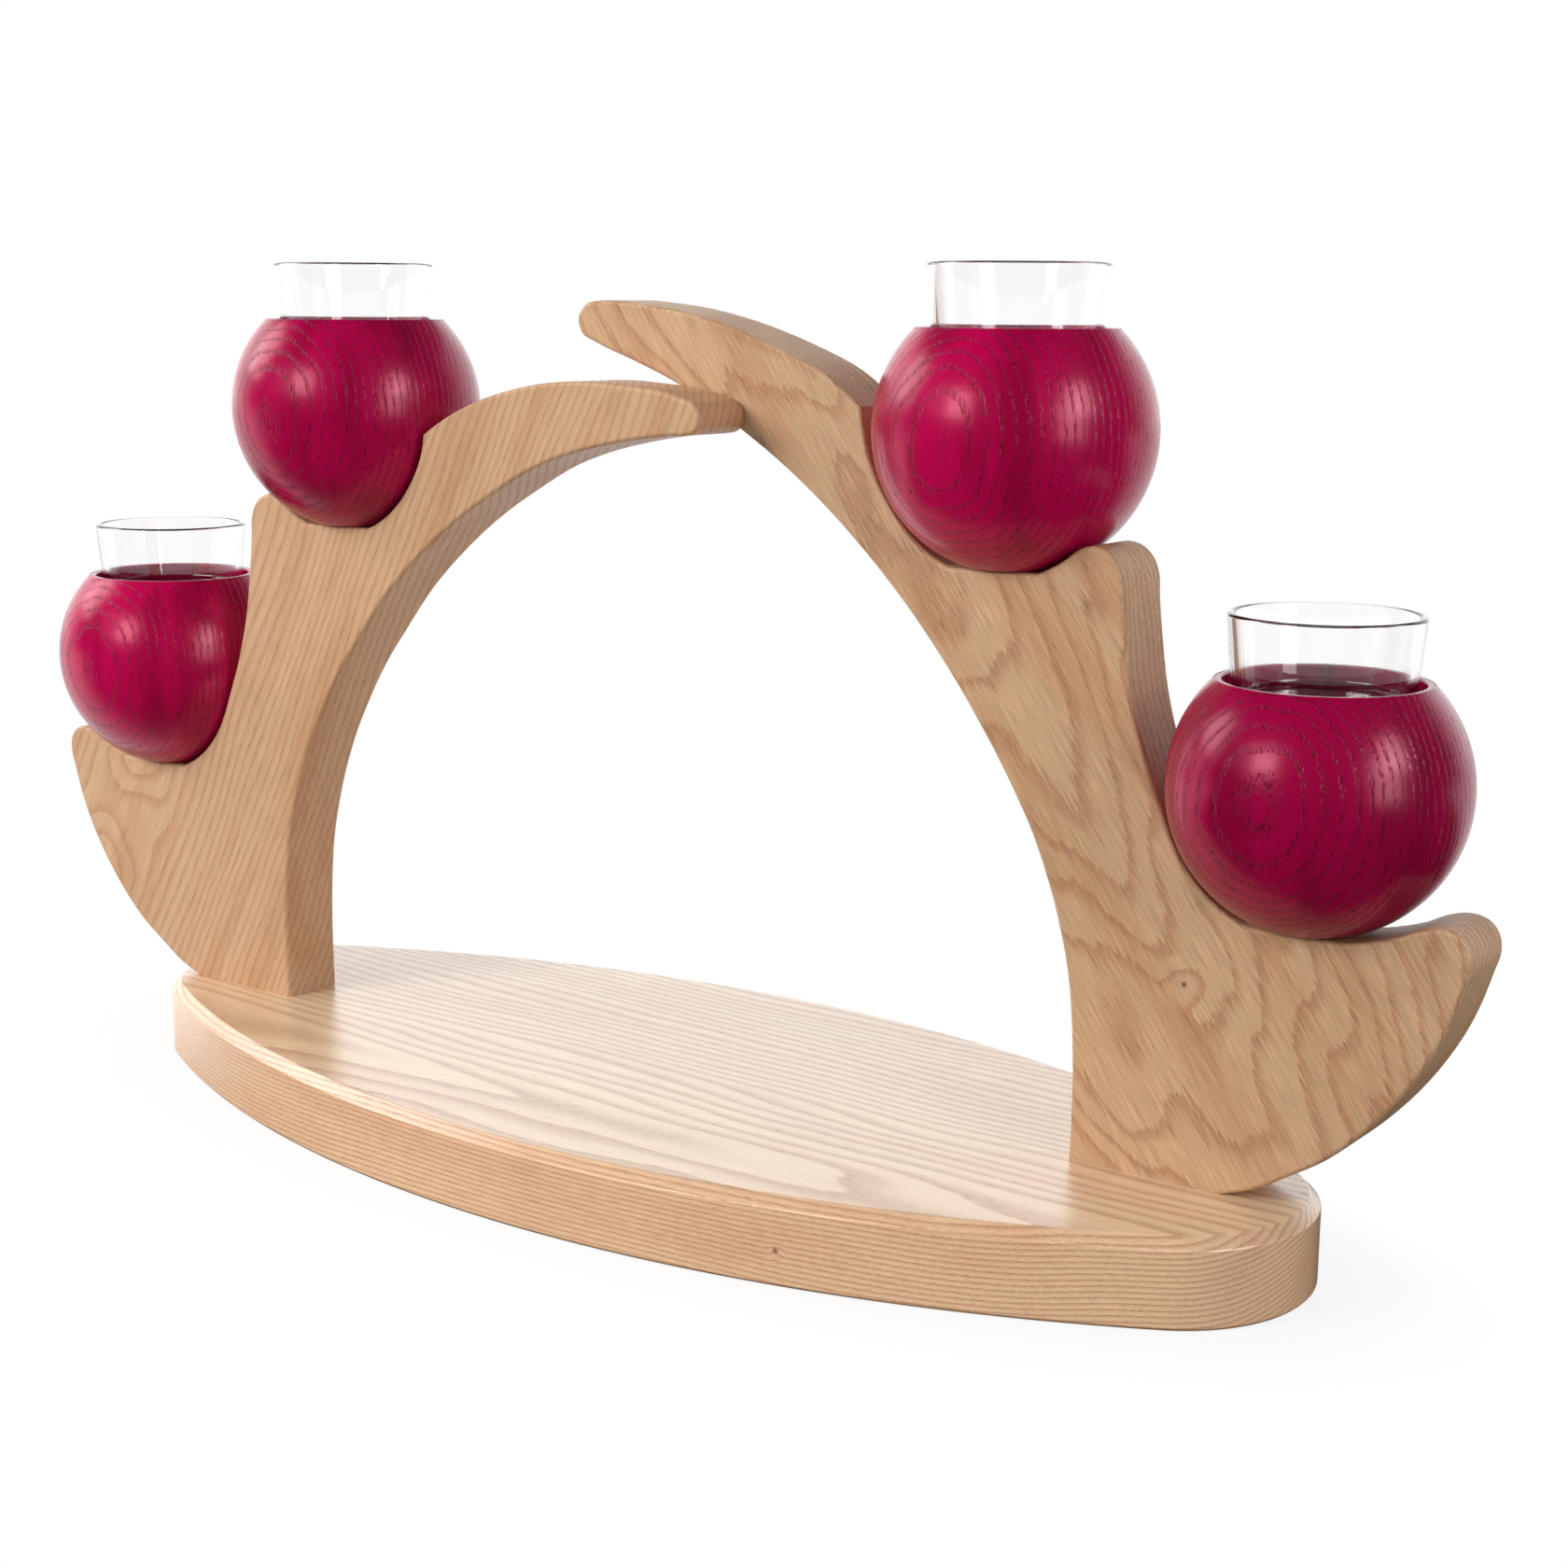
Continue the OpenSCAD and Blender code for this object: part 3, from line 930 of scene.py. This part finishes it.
class BallSettings(bpy.types.PropertyGroup):
    """Sizes and colours of the turned balls."""

    diameter: FloatProperty(
        name="Diameter",
        description="Diameter of the ball before its flats are cut",
        default=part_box("upper_right_ball")[1].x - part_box("upper_right_ball")[0].x,
        unit="LENGTH",
        subtype="DISTANCE",
    )
    mouth: FloatProperty(
        name="Mouth",
        description="Diameter of the flat at the top",
        default=53 * MM,
        unit="LENGTH",
        subtype="DISTANCE",
    )
    recess: FloatProperty(
        name="Recess",
        description="Diameter of the recess that holds the glass",
        default=49.2 * MM,
        unit="LENGTH",
        subtype="DISTANCE",
    )
    recess_depth: FloatProperty(
        name="Recess depth",
        description="Depth of the recess that holds the glass",
        default=8.5 * MM,
        unit="LENGTH",
        subtype="DISTANCE",
    )
    seat: FloatProperty(
        name="Seat",
        description="Diameter of the flat that stands on the arch",
        default=24 * MM,
        unit="LENGTH",
        subtype="DISTANCE",
    )
    dowel_hole: FloatProperty(
        name="Dowel hole",
        description="Diameter of the hole for the dowel",
        default=8.1 * MM,
        unit="LENGTH",
        subtype="DISTANCE",
    )
    dowel_hole_depth: FloatProperty(
        name="Dowel hole depth",
        description="Depth of the hole for the dowel",
        default=15.5 * MM,
        unit="LENGTH",
        subtype="DISTANCE",
    )
    rim_round: FloatProperty(
        name="Rim round",
        description="Radius on the mouth's two edges and on the seat's edge",
        default=0.60 * MM,
        precision=4,
        unit="LENGTH",
        subtype="DISTANCE",
    )
    early: FloatVectorProperty(
        name="Stain in the early wood",
        description="Colour where the porous wood has drunk more stain",
        size=4,
        min=0,
        max=1,
        default=linear("7A002C"),
        subtype="COLOR",
    )
    late: FloatVectorProperty(
        name="Stain in the late wood",
        description="Colour of the stain on the dense wood",
        size=4,
        min=0,
        max=1,
        default=linear("AD0045"),
        subtype="COLOR",
    )


class GlassSettings(bpy.types.PropertyGroup):
    """Sizes and colour of the glass cups."""

    rim: FloatProperty(
        name="Rim",
        description="Outside diameter at the rim",
        default=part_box("upper_right_glass")[1].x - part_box("upper_right_glass")[0].x,
        unit="LENGTH",
        subtype="DISTANCE",
    )
    foot: FloatProperty(
        name="Foot",
        description="Outside diameter at the foot, before its corner is rounded",
        default=43.6 * MM,
        unit="LENGTH",
        subtype="DISTANCE",
    )
    wall: FloatProperty(
        name="Wall",
        description="Thickness of the wall",
        default=1.8 * MM,
        precision=4,
        unit="LENGTH",
        subtype="DISTANCE",
    )
    floor: FloatProperty(
        name="Floor",
        description="Thickness of the floor",
        default=4 * MM,
        unit="LENGTH",
        subtype="DISTANCE",
    )
    foot_round: FloatProperty(
        name="Foot round",
        description="Radius on the outside of the foot",
        default=2 * MM,
        unit="LENGTH",
        subtype="DISTANCE",
    )
    floor_round: FloatProperty(
        name="Floor round",
        description="Radius inside, where the wall meets the floor",
        default=1.5 * MM,
        unit="LENGTH",
        subtype="DISTANCE",
    )
    tint: FloatVectorProperty(
        name="Tint",
        description="Colour of the glass",
        size=4,
        min=0,
        max=1,
        default=linear("FFFFFF"),
        subtype="COLOR",
    )


class FixingSettings(bpy.types.PropertyGroup):
    """Colours of the dowels, screws and pin."""

    beech: FloatVectorProperty(
        name="Beech",
        description="Ground colour of the dowels",
        size=4,
        min=0,
        max=1,
        default=linear("D9B48F"),
        subtype="COLOR",
    )
    beech_fleck: FloatVectorProperty(
        name="Beech flecks",
        description="Colour of the short flecks in the dowels",
        size=4,
        min=0,
        max=1,
        default=linear("A87850"),
        subtype="COLOR",
    )
    steel: FloatVectorProperty(
        name="Zinc plating",
        description="Colour of the plated screws and pin",
        size=4,
        min=0,
        max=1,
        default=linear("C3C6C8"),
        subtype="COLOR",
    )
    steel_cloud: FloatVectorProperty(
        name="Cloudy plating",
        description="Colour of the duller clouds in the plating",
        size=4,
        min=0,
        max=1,
        default=linear("A7ABB0"),
        subtype="COLOR",
    )


class StageSettings(bpy.types.PropertyGroup):
    """The camera, the lamps and the white surroundings."""

    lens: FloatProperty(
        name="Lens",
        description="Focal length on a sensor 36 mm wide",
        default=55.73,
        min=10,
        max=200,
    )
    camera_place: FloatVectorProperty(
        name="Camera place",
        description="Where the camera stands in the row frame",
        default=(0.43840, -0.53964, 0.24715),
        precision=4,
        unit="LENGTH",
        subtype="TRANSLATION",
    )
    azimuth: FloatProperty(
        name="Azimuth",
        description="How far round to the right of the front the camera stands",
        default=0.63055,
        subtype="ANGLE",
    )
    elevation: FloatProperty(
        name="Elevation",
        description="How far down the camera looks",
        default=0.196926,
        subtype="ANGLE",
    )
    roll: FloatProperty(
        name="Roll",
        description="How far the camera is tipped about its own axis",
        default=0.0068247,
        subtype="ANGLE",
    )
    front_share: FloatProperty(
        name="Front lamp",
        description="Share of the full light that the front lamp gives",
        default=0.69,
        min=0,
        max=2,
        subtype="FACTOR",
    )
    front_gloss_share: FloatProperty(
        name="Front gloss",
        description="Share of the full light that a second front lamp gives to the gloss alone",
        default=0.28,
        min=0,
        max=2,
        subtype="FACTOR",
    )
    side_share: FloatProperty(
        name="Side lamp",
        description="Share of the full light that the lamp at the right gives",
        default=0.27,
        min=0,
        max=2,
        subtype="FACTOR",
    )
    left_share: FloatProperty(
        name="Left lamp",
        description="Share of the full light that the lamp at the left gives",
        default=0.24,
        min=0,
        max=2,
        subtype="FACTOR",
    )
    back_share: FloatProperty(
        name="Back lamp",
        description="Share of the full light that the lamp behind the holder gives",
        default=0.10,
        min=0,
        max=2,
        subtype="FACTOR",
    )
    gloss_share: FloatProperty(
        name="Side gloss",
        description="Share of the full light that the right lamp gives to the gloss alone",
        default=0.27,
        min=0,
        max=2,
        subtype="FACTOR",
    )
    room_share: FloatProperty(
        name="Room light",
        description="Share of the full light that comes evenly from all round",
        default=0.37,
        min=0,
        max=2,
        subtype="FACTOR",
    )
    shadow_share: FloatProperty(
        name="Shadow",
        description="How much of the object's shadow the white floor keeps",
        default=0.16,
        min=0,
        max=1,
        subtype="FACTOR",
    )


# Operators


class CANDLE_HOLDER_OT_add_base(bpy.types.Operator):
    """Add the base board with its softened edges and pale grain"""

    bl_idname = "candle_holder.add_base"
    bl_label = "Add base"

    def execute(self, context):
        settings = context.scene.candle_base
        shape = merged_copy("base")
        boxes = fixing_boxes()
        edges = []
        for edge in shape.edges:
            along = edge.verts[1].co - edge.verts[0].co
            level = abs(along.z) < LEVEL_SLOPE * along.length
            turned = edge.is_manifold and edge.calc_face_angle() > SOFTENED_ANGLE
            if level and turned and not at_bored_hole(edge, boxes, BASE_BORE_GAP):
                edges.append(edge)
        if not edges:
            raise RuntimeError("The base has no edges to soften")
        round_edges(shape, edges, settings.edge_round)
        # The base's wood carries painted light: tints on its top and sides, and painted shade on its
        # bevel.
        material = ash_material(
            "oiled_pale_ash",
            BASE_GRAIN,
            settings.early,
            settings.late,
            settings.warm,
            BASE_PORE,
            knot=BASE_KNOT,
            paint_light=True,
        )
        add_piece("base_board", shape, material, HOLDER, "base")
        return {"FINISHED"}


class CANDLE_HOLDER_OT_add_plates(bpy.types.Operator):
    """Add the two halves of the arch with their rounded outlines"""

    bl_idname = "candle_holder.add_plates"
    bl_label = "Add arch halves"

    def execute(self, context):
        settings = context.scene.candle_plates
        boxes = fixing_boxes()
        halves = (
            ("left_arch_plate", "left_arch_half", "oiled_ash_left", LEFT_PLATE_GRAIN, PLATE_EYE),
            ("right_arch_plate", "right_arch_half", "oiled_ash_right", RIGHT_PLATE_GRAIN, PLATE_KNOT),
        )
        for node, name, material_name, grain, knot in halves:
            shape = merged_copy(node)
            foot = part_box(node)[0].z
            edges = []
            for edge in shape.edges:
                if not edge.is_manifold:
                    continue
                # An edge of the outline lies between the plate's flat face and its narrow side.
                sides = sorted(abs(face.normal.y) for face in edge.link_faces)
                outline = sides[0] < NARROW_SIDE and sides[1] > FLAT_FACE
                standing = max(vert.co.z for vert in edge.verts) < foot + STANDING_GAP
                if outline and not standing and not at_bored_hole(edge, boxes, PLATE_BORE_GAP):
                    edges.append(edge)
            if not edges:
                raise RuntimeError(f"{node} has no outline to round")
            round_edges(shape, edges, settings.edge_round)
            material = ash_material(
                material_name,
                grain,
                settings.early,
                settings.late,
                settings.warm,
                PLATE_PORE,
                knot=knot,
            )
            add_piece(name, shape, material, HOLDER, node)
        return {"FINISHED"}


class CANDLE_HOLDER_OT_add_balls(bpy.types.Operator):
    """Add the four turned and stained balls"""

    bl_idname = "candle_holder.add_balls"
    bl_label = "Add balls"

    def execute(self, context):
        settings = context.scene.candle_balls
        for place in PLACES:
            node = place + "_ball"
            low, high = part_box(node)
            up = math.sqrt((settings.diameter / 2) ** 2 - (settings.mouth / 2) ** 2)
            centre = Vector(((low.x + high.x) / 2, (low.y + high.y) / 2, high.z - up))
            shape = ball_shape(centre, settings)
            grain = dict(BALL_GRAIN, origin=centre + Vector(BALL_SHIFTS[place]))
            stains = [
                [BALL_LIGHTNESS[place] * part for part in stain[:3]] + [1.0]
                for stain in (settings.early, settings.late, BALL_STREAK, BALL_PORE)
            ]
            material = ash_material("stained_ash_" + place, grain, *stains)
            add_piece(place + "_turned_ball", shape, material, HOLDER, node)
        return {"FINISHED"}


class CANDLE_HOLDER_OT_add_glasses(bpy.types.Operator):
    """Add the four glass cups, which lift out of the balls"""

    bl_idname = "candle_holder.add_glasses"
    bl_label = "Add glass cups"

    def execute(self, context):
        settings = context.scene.candle_glasses
        material = glass_material(settings)
        for place in PLACES:
            node = place + "_glass"
            low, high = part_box(node)
            foot = Vector(((low.x + high.x) / 2, (low.y + high.y) / 2, low.z))
            shape = glass_shape(foot, high.z - low.z, settings)
            add_piece(place + "_cup", shape, material, node, node)
        return {"FINISHED"}


class CANDLE_HOLDER_OT_finish_fixings(bpy.types.Operator):
    """Give the dowels, the screws and the pin their beech and steel"""

    bl_idname = "candle_holder.finish_fixings"
    bl_label = "Finish fixings"

    def execute(self, context):
        settings = context.scene.candle_fixings
        beech = beech_material(settings)
        steel = steel_material(settings)
        for name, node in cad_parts.items():
            if name.endswith("_dowel"):
                finish = beech
            elif name.endswith(("_screw", "_pin")):
                finish = steel
            else:
                continue
            node.data.materials.clear()
            node.data.materials.append(finish)
        return {"FINISHED"}


# The stage: the floor, the surroundings, the lamps and the camera

# The floor lies this far below the base, so that the two faces don't fall into one, and
# reaches this far to each side, in metres.
FLOOR_GAP = 0.05 * MM
FLOOR_REACH = 6.0
# The paper as the wood sees it.
PAPER = linear("949494")
# The shadow fades over this range of the distance from the middle, which is 1 along an oval
# round the base.
SHADOW_EDGE = (0.95, 1.3)
# The gloss mirrors the paper bright behind the object and dim in front of it: from how far
# behind the middle to how far, in metres, and how bright.
PAPER_BEHIND = (0.0, 0.14)
PAPER_MIRRORED = (0.01, 1.15)
# It mirrors the world bright towards the backdrop and dark elsewhere.
WORLD_BEHIND = (0.1, 0.7)
WORLD_MIRRORED = (0.0, 1.65)
# The lit backdrop ends about 30 degrees up, so the tops of the arms mirror the dark above it.
BACKDROP_END = (0.42, 0.55)
BACKDROP_MIRRORED = (1.0, 0.04)
# Through the glass the room is bright at eye level and dark overhead.
GLASS_HEIGHT = (0.15, 0.6)
GLASS_ROOM = (1.0, 0.05)

# The width of the camera's sensor, in millimetres, and the nearest and furthest that it shows.
SENSOR_WIDTH = 36
CAMERA_REACH = (0.01, 100)

# The lamps point at this place. Each has a direction from it, a distance, a width and a height, in
# metres, the setting for its share of the full light, and whether it lights the wood and the gloss.
# The gloss shows the front box nearer the middle, and the right one brighter than the wood does.
LAMP_AIM = (0.0, 0.0, 0.14)
LAMPS = (
    ("front_soft_box", (-0.46, -0.80, 0.40), 1.35, 0.5, 0.5, "front_share", True, False),
    ("side_soft_box", (0.92, -0.22, 0.20), 1.5, 0.5, 0.7, "side_share", True, True),
    ("left_soft_box", (-0.85, -0.25, 0.48), 1.4, 0.6, 0.6, "left_share", True, True),
    ("back_soft_box", (-0.35, 0.80, 0.50), 1.5, 0.6, 0.6, "back_share", True, False),
    ("front_gloss_box", (-0.19, -0.90, 0.41), 1.35, 0.42, 0.42, "front_gloss_share", False, True),
    ("side_gloss_box", (0.90, -0.07, 0.42), 1.49, 0.42, 0.50, "gloss_share", False, True),
)


def backdrop_direction(settings):
    """The level direction in which the camera looks, to the backdrop."""
    return (-math.sin(settings.azimuth), math.cos(settings.azimuth), 0.0)


def floor_material(settings):
    """Seamless white paper: it shows as plain white, and keeps a share of the object's shadow."""
    material, tree, output = new_material("white_paper_floor")
    path = add_node(tree, "ShaderNodeLightPath", {}, {}).outputs
    place = add_node(tree, "ShaderNodeTexCoord", {}, {}).outputs["Object"]
    # The shadow shows close to the base: this length is 1 along an oval round it.
    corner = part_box("base")[1]
    away = add_node(
        tree,
        "ShaderNodeVectorMath",
        {"operation": "MULTIPLY"},
        {0: place, 1: (1 / corner.x, 1 / corner.y, 1.0)},
    ).outputs[0]
    away = add_node(tree, "ShaderNodeVectorMath", {"operation": "LENGTH"}, {0: away}).outputs["Value"]
    share = add_node(
        tree,
        "ShaderNodeMapRange",
        SMOOTH,
        {
            "Value": away,
            "From Min": SHADOW_EDGE[0],
            "From Max": SHADOW_EDGE[1],
            "To Min": settings.shadow_share,
            "To Max": 0.0,
        },
    ).outputs[0]
    paper = add_node(tree, "ShaderNodeBsdfDiffuse", {}, {"Color": PAPER}).outputs[0]
    catcher = add_node(tree, "ShaderNodeBsdfDiffuse", {}, {"Color": WHITE}).outputs[0]
    white = add_node(tree, "ShaderNodeEmission", {}, {"Strength": 1.0}).outputs[0]
    shown = add_node(tree, "ShaderNodeMixShader", {}, {0: share, 1: white, 2: catcher}).outputs[0]
    seen = add_node(
        tree,
        "ShaderNodeMath",
        {"operation": "MAXIMUM"},
        {0: path["Is Camera Ray"], 1: path["Is Transmission Ray"]},
    ).outputs[0]
    behind = add_node(
        tree,
        "ShaderNodeVectorMath",
        {"operation": "DOT_PRODUCT"},
        {0: place, 1: backdrop_direction(settings)},
    ).outputs["Value"]
    mirrored = add_node(
        tree,
        "ShaderNodeMapRange",
        SMOOTH,
        {
            "Value": behind,
            "From Min": PAPER_BEHIND[0],
            "From Max": PAPER_BEHIND[1],
            "To Min": PAPER_MIRRORED[0],
            "To Max": PAPER_MIRRORED[1],
        },
    ).outputs[0]
    gloss = add_node(tree, "ShaderNodeEmission", {}, {"Strength": mirrored}).outputs[0]
    plain = add_node(
        tree, "ShaderNodeMixShader", {}, {0: path["Is Glossy Ray"], 1: paper, 2: gloss}
    ).outputs[0]
    final = add_node(tree, "ShaderNodeMixShader", {}, {0: seen, 1: plain, 2: shown}).outputs[0]
    tree.links.new(final, output.inputs["Surface"])
    return material


def studio_world(settings):
    """White all round to the eye, an even dim room to the wood, and a bright backdrop to the gloss."""
    world = bpy.data.worlds.new("studio")
    world.use_nodes = True
    tree = world.node_tree
    tree.nodes.clear()
    output = tree.nodes.new("ShaderNodeOutputWorld")
    path = add_node(tree, "ShaderNodeLightPath", {}, {}).outputs
    way = add_node(tree, "ShaderNodeTexCoord", {}, {}).outputs["Generated"]
    towards = add_node(
        tree,
        "ShaderNodeVectorMath",
        {"operation": "DOT_PRODUCT"},
        {0: way, 1: backdrop_direction(settings)},
    ).outputs["Value"]
    height = add_node(tree, "ShaderNodeSeparateXYZ", {}, {0: way}).outputs["Z"]
    # How bright each direction is, by how far it points to the backdrop or by its height.
    levels = {}
    for name, value, edge, brightness in (
        ("mirrored", towards, WORLD_BEHIND, WORLD_MIRRORED),
        ("through", height, GLASS_HEIGHT, GLASS_ROOM),
        ("below", height, BACKDROP_END, BACKDROP_MIRRORED),
    ):
        levels[name] = add_node(
            tree,
            "ShaderNodeMapRange",
            SMOOTH,
            {
                "Value": value,
                "From Min": edge[0],
                "From Max": edge[1],
                "To Min": brightness[0],
                "To Max": brightness[1],
            },
        ).outputs[0]
    mirrored = add_node(
        tree, "ShaderNodeMath", {"operation": "MULTIPLY"}, {0: levels["mirrored"], 1: levels["below"]}
    ).outputs[0]
    # Each kind of ray takes a level of its own, and all others that of the room.
    level = settings.room_share
    for ray, own in (
        ("Is Glossy Ray", mirrored),
        ("Is Transmission Ray", levels["through"]),
        ("Is Camera Ray", 1.0),
    ):
        level = add_node(
            tree,
            "ShaderNodeMix",
            {"data_type": "FLOAT"},
            {MIX_SHARE: path[ray], MIX_FIRST_NUMBER: level, MIX_SECOND_NUMBER: own},
        ).outputs[0]
    light = add_node(
        tree, "ShaderNodeBackground", {}, {"Color": (1, 1, 1, 1), "Strength": level}
    ).outputs[0]
    tree.links.new(light, output.inputs["Surface"])
    # Only rays that leave the surfaces sample the world, so that Light Path tells them apart.
    world.cycles.sampling_method = "NONE"
    return world


def add_floor(settings):
    """The white paper under the holder, which belongs to the stage."""
    shape = bmesh.new()
    bmesh.ops.create_grid(shape, x_segments=2, y_segments=2, size=FLOOR_REACH)
    mesh = bpy.data.meshes.new("paper_floor")
    shape.to_mesh(mesh)
    shape.free()
    floor = bpy.data.objects.new("paper_floor", mesh)
    floor.location.z = cad_box[0].z - FLOOR_GAP
    mesh.materials.append(floor_material(settings))
    bpy.context.scene.collection.objects.link(floor)


def add_lamp(name, direction, distance, width, height, share):
    """A soft box in that direction from the aim. Alone, it lights what faces it to that share of
    white."""
    light = bpy.data.lights.new(name, "AREA")
    light.shape = "RECTANGLE"
    light.size = width
    light.size_y = height
    light.energy = share * (math.pi * distance) ** 2
    lamp = bpy.data.objects.new(name, light)
    away = Vector(direction).normalized()
    lamp.location = Vector(LAMP_AIM) + away * distance
    lamp.rotation_euler = away.to_track_quat("Z", "Y").to_euler()
    bpy.context.scene.collection.objects.link(lamp)
    return lamp


def add_camera(settings):
    """The camera, where the settings put it."""
    camera = bpy.data.cameras.new("photo_camera")
    camera.lens = settings.lens
    camera.sensor_width = SENSOR_WIDTH
    camera.clip_start, camera.clip_end = CAMERA_REACH
    viewer = bpy.data.objects.new("photo_camera", camera)
    viewer.location = settings.camera_place
    turn = Euler((0, 0, settings.azimuth)).to_matrix()
    turn = turn @ Euler((math.pi / 2 - settings.elevation, 0, 0)).to_matrix()
    turn = turn @ Euler((0, 0, settings.roll)).to_matrix()
    viewer.rotation_euler = turn.to_euler()
    bpy.context.scene.collection.objects.link(viewer)
    return viewer


class CANDLE_HOLDER_OT_add_stage(bpy.types.Operator):
    """Add the floor, the white surroundings, the soft boxes and the camera"""

    bl_idname = "candle_holder.add_stage"
    bl_label = "Add stage"

    def execute(self, context):
        settings = context.scene.candle_stage
        context.scene.view_settings.view_transform = "Standard"
        context.scene.world = studio_world(settings)
        add_floor(settings)
        for name, direction, distance, width, height, share, on_wood, on_gloss in LAMPS:
            lamp = add_lamp(name, direction, distance, width, height, getattr(settings, share))
            lamp.visible_diffuse = on_wood
            lamp.visible_glossy = on_gloss
        context.scene.camera = add_camera(settings)
        return {"FINISHED"}


class CANDLE_HOLDER_PT_pieces(bpy.types.Panel):
    """The buttons that add each group of pieces"""

    bl_label = "Candle holder"
    bl_idname = "CANDLE_HOLDER_PT_pieces"
    bl_space_type = "VIEW_3D"
    bl_region_type = "UI"
    bl_category = "Candle holder"

    def draw(self, context):
        for operator in OPERATORS:
            self.layout.operator(operator.bl_idname)


SETTINGS = (
    ("candle_base", BaseSettings),
    ("candle_plates", PlateSettings),
    ("candle_balls", BallSettings),
    ("candle_glasses", GlassSettings),
    ("candle_fixings", FixingSettings),
    ("candle_stage", StageSettings),
)
OPERATORS = (
    CANDLE_HOLDER_OT_add_base,
    CANDLE_HOLDER_OT_add_plates,
    CANDLE_HOLDER_OT_add_balls,
    CANDLE_HOLDER_OT_add_glasses,
    CANDLE_HOLDER_OT_finish_fixings,
    CANDLE_HOLDER_OT_add_stage,
)


def register():
    """Register the settings, the operators and the panel."""
    for field, group in SETTINGS:
        bpy.utils.register_class(group)
        setattr(bpy.types.Scene, field, PointerProperty(type=group))
    for operator in OPERATORS:
        bpy.utils.register_class(operator)
    bpy.utils.register_class(CANDLE_HOLDER_PT_pieces)


def unregister():
    """Take the panel, the operators and the settings away again."""
    bpy.utils.unregister_class(CANDLE_HOLDER_PT_pieces)
    for operator in reversed(OPERATORS):
        bpy.utils.unregister_class(operator)
    for field, group in reversed(SETTINGS):
        delattr(bpy.types.Scene, field)
        bpy.utils.unregister_class(group)


def main():
    """Build every piece and the stage."""
    register()
    bpy.ops.candle_holder.add_base()
    bpy.ops.candle_holder.add_plates()
    bpy.ops.candle_holder.add_balls()
    bpy.ops.candle_holder.add_glasses()
    bpy.ops.candle_holder.finish_fixings()
    bpy.ops.candle_holder.add_stage()


if __name__ == "__main__":
    main()
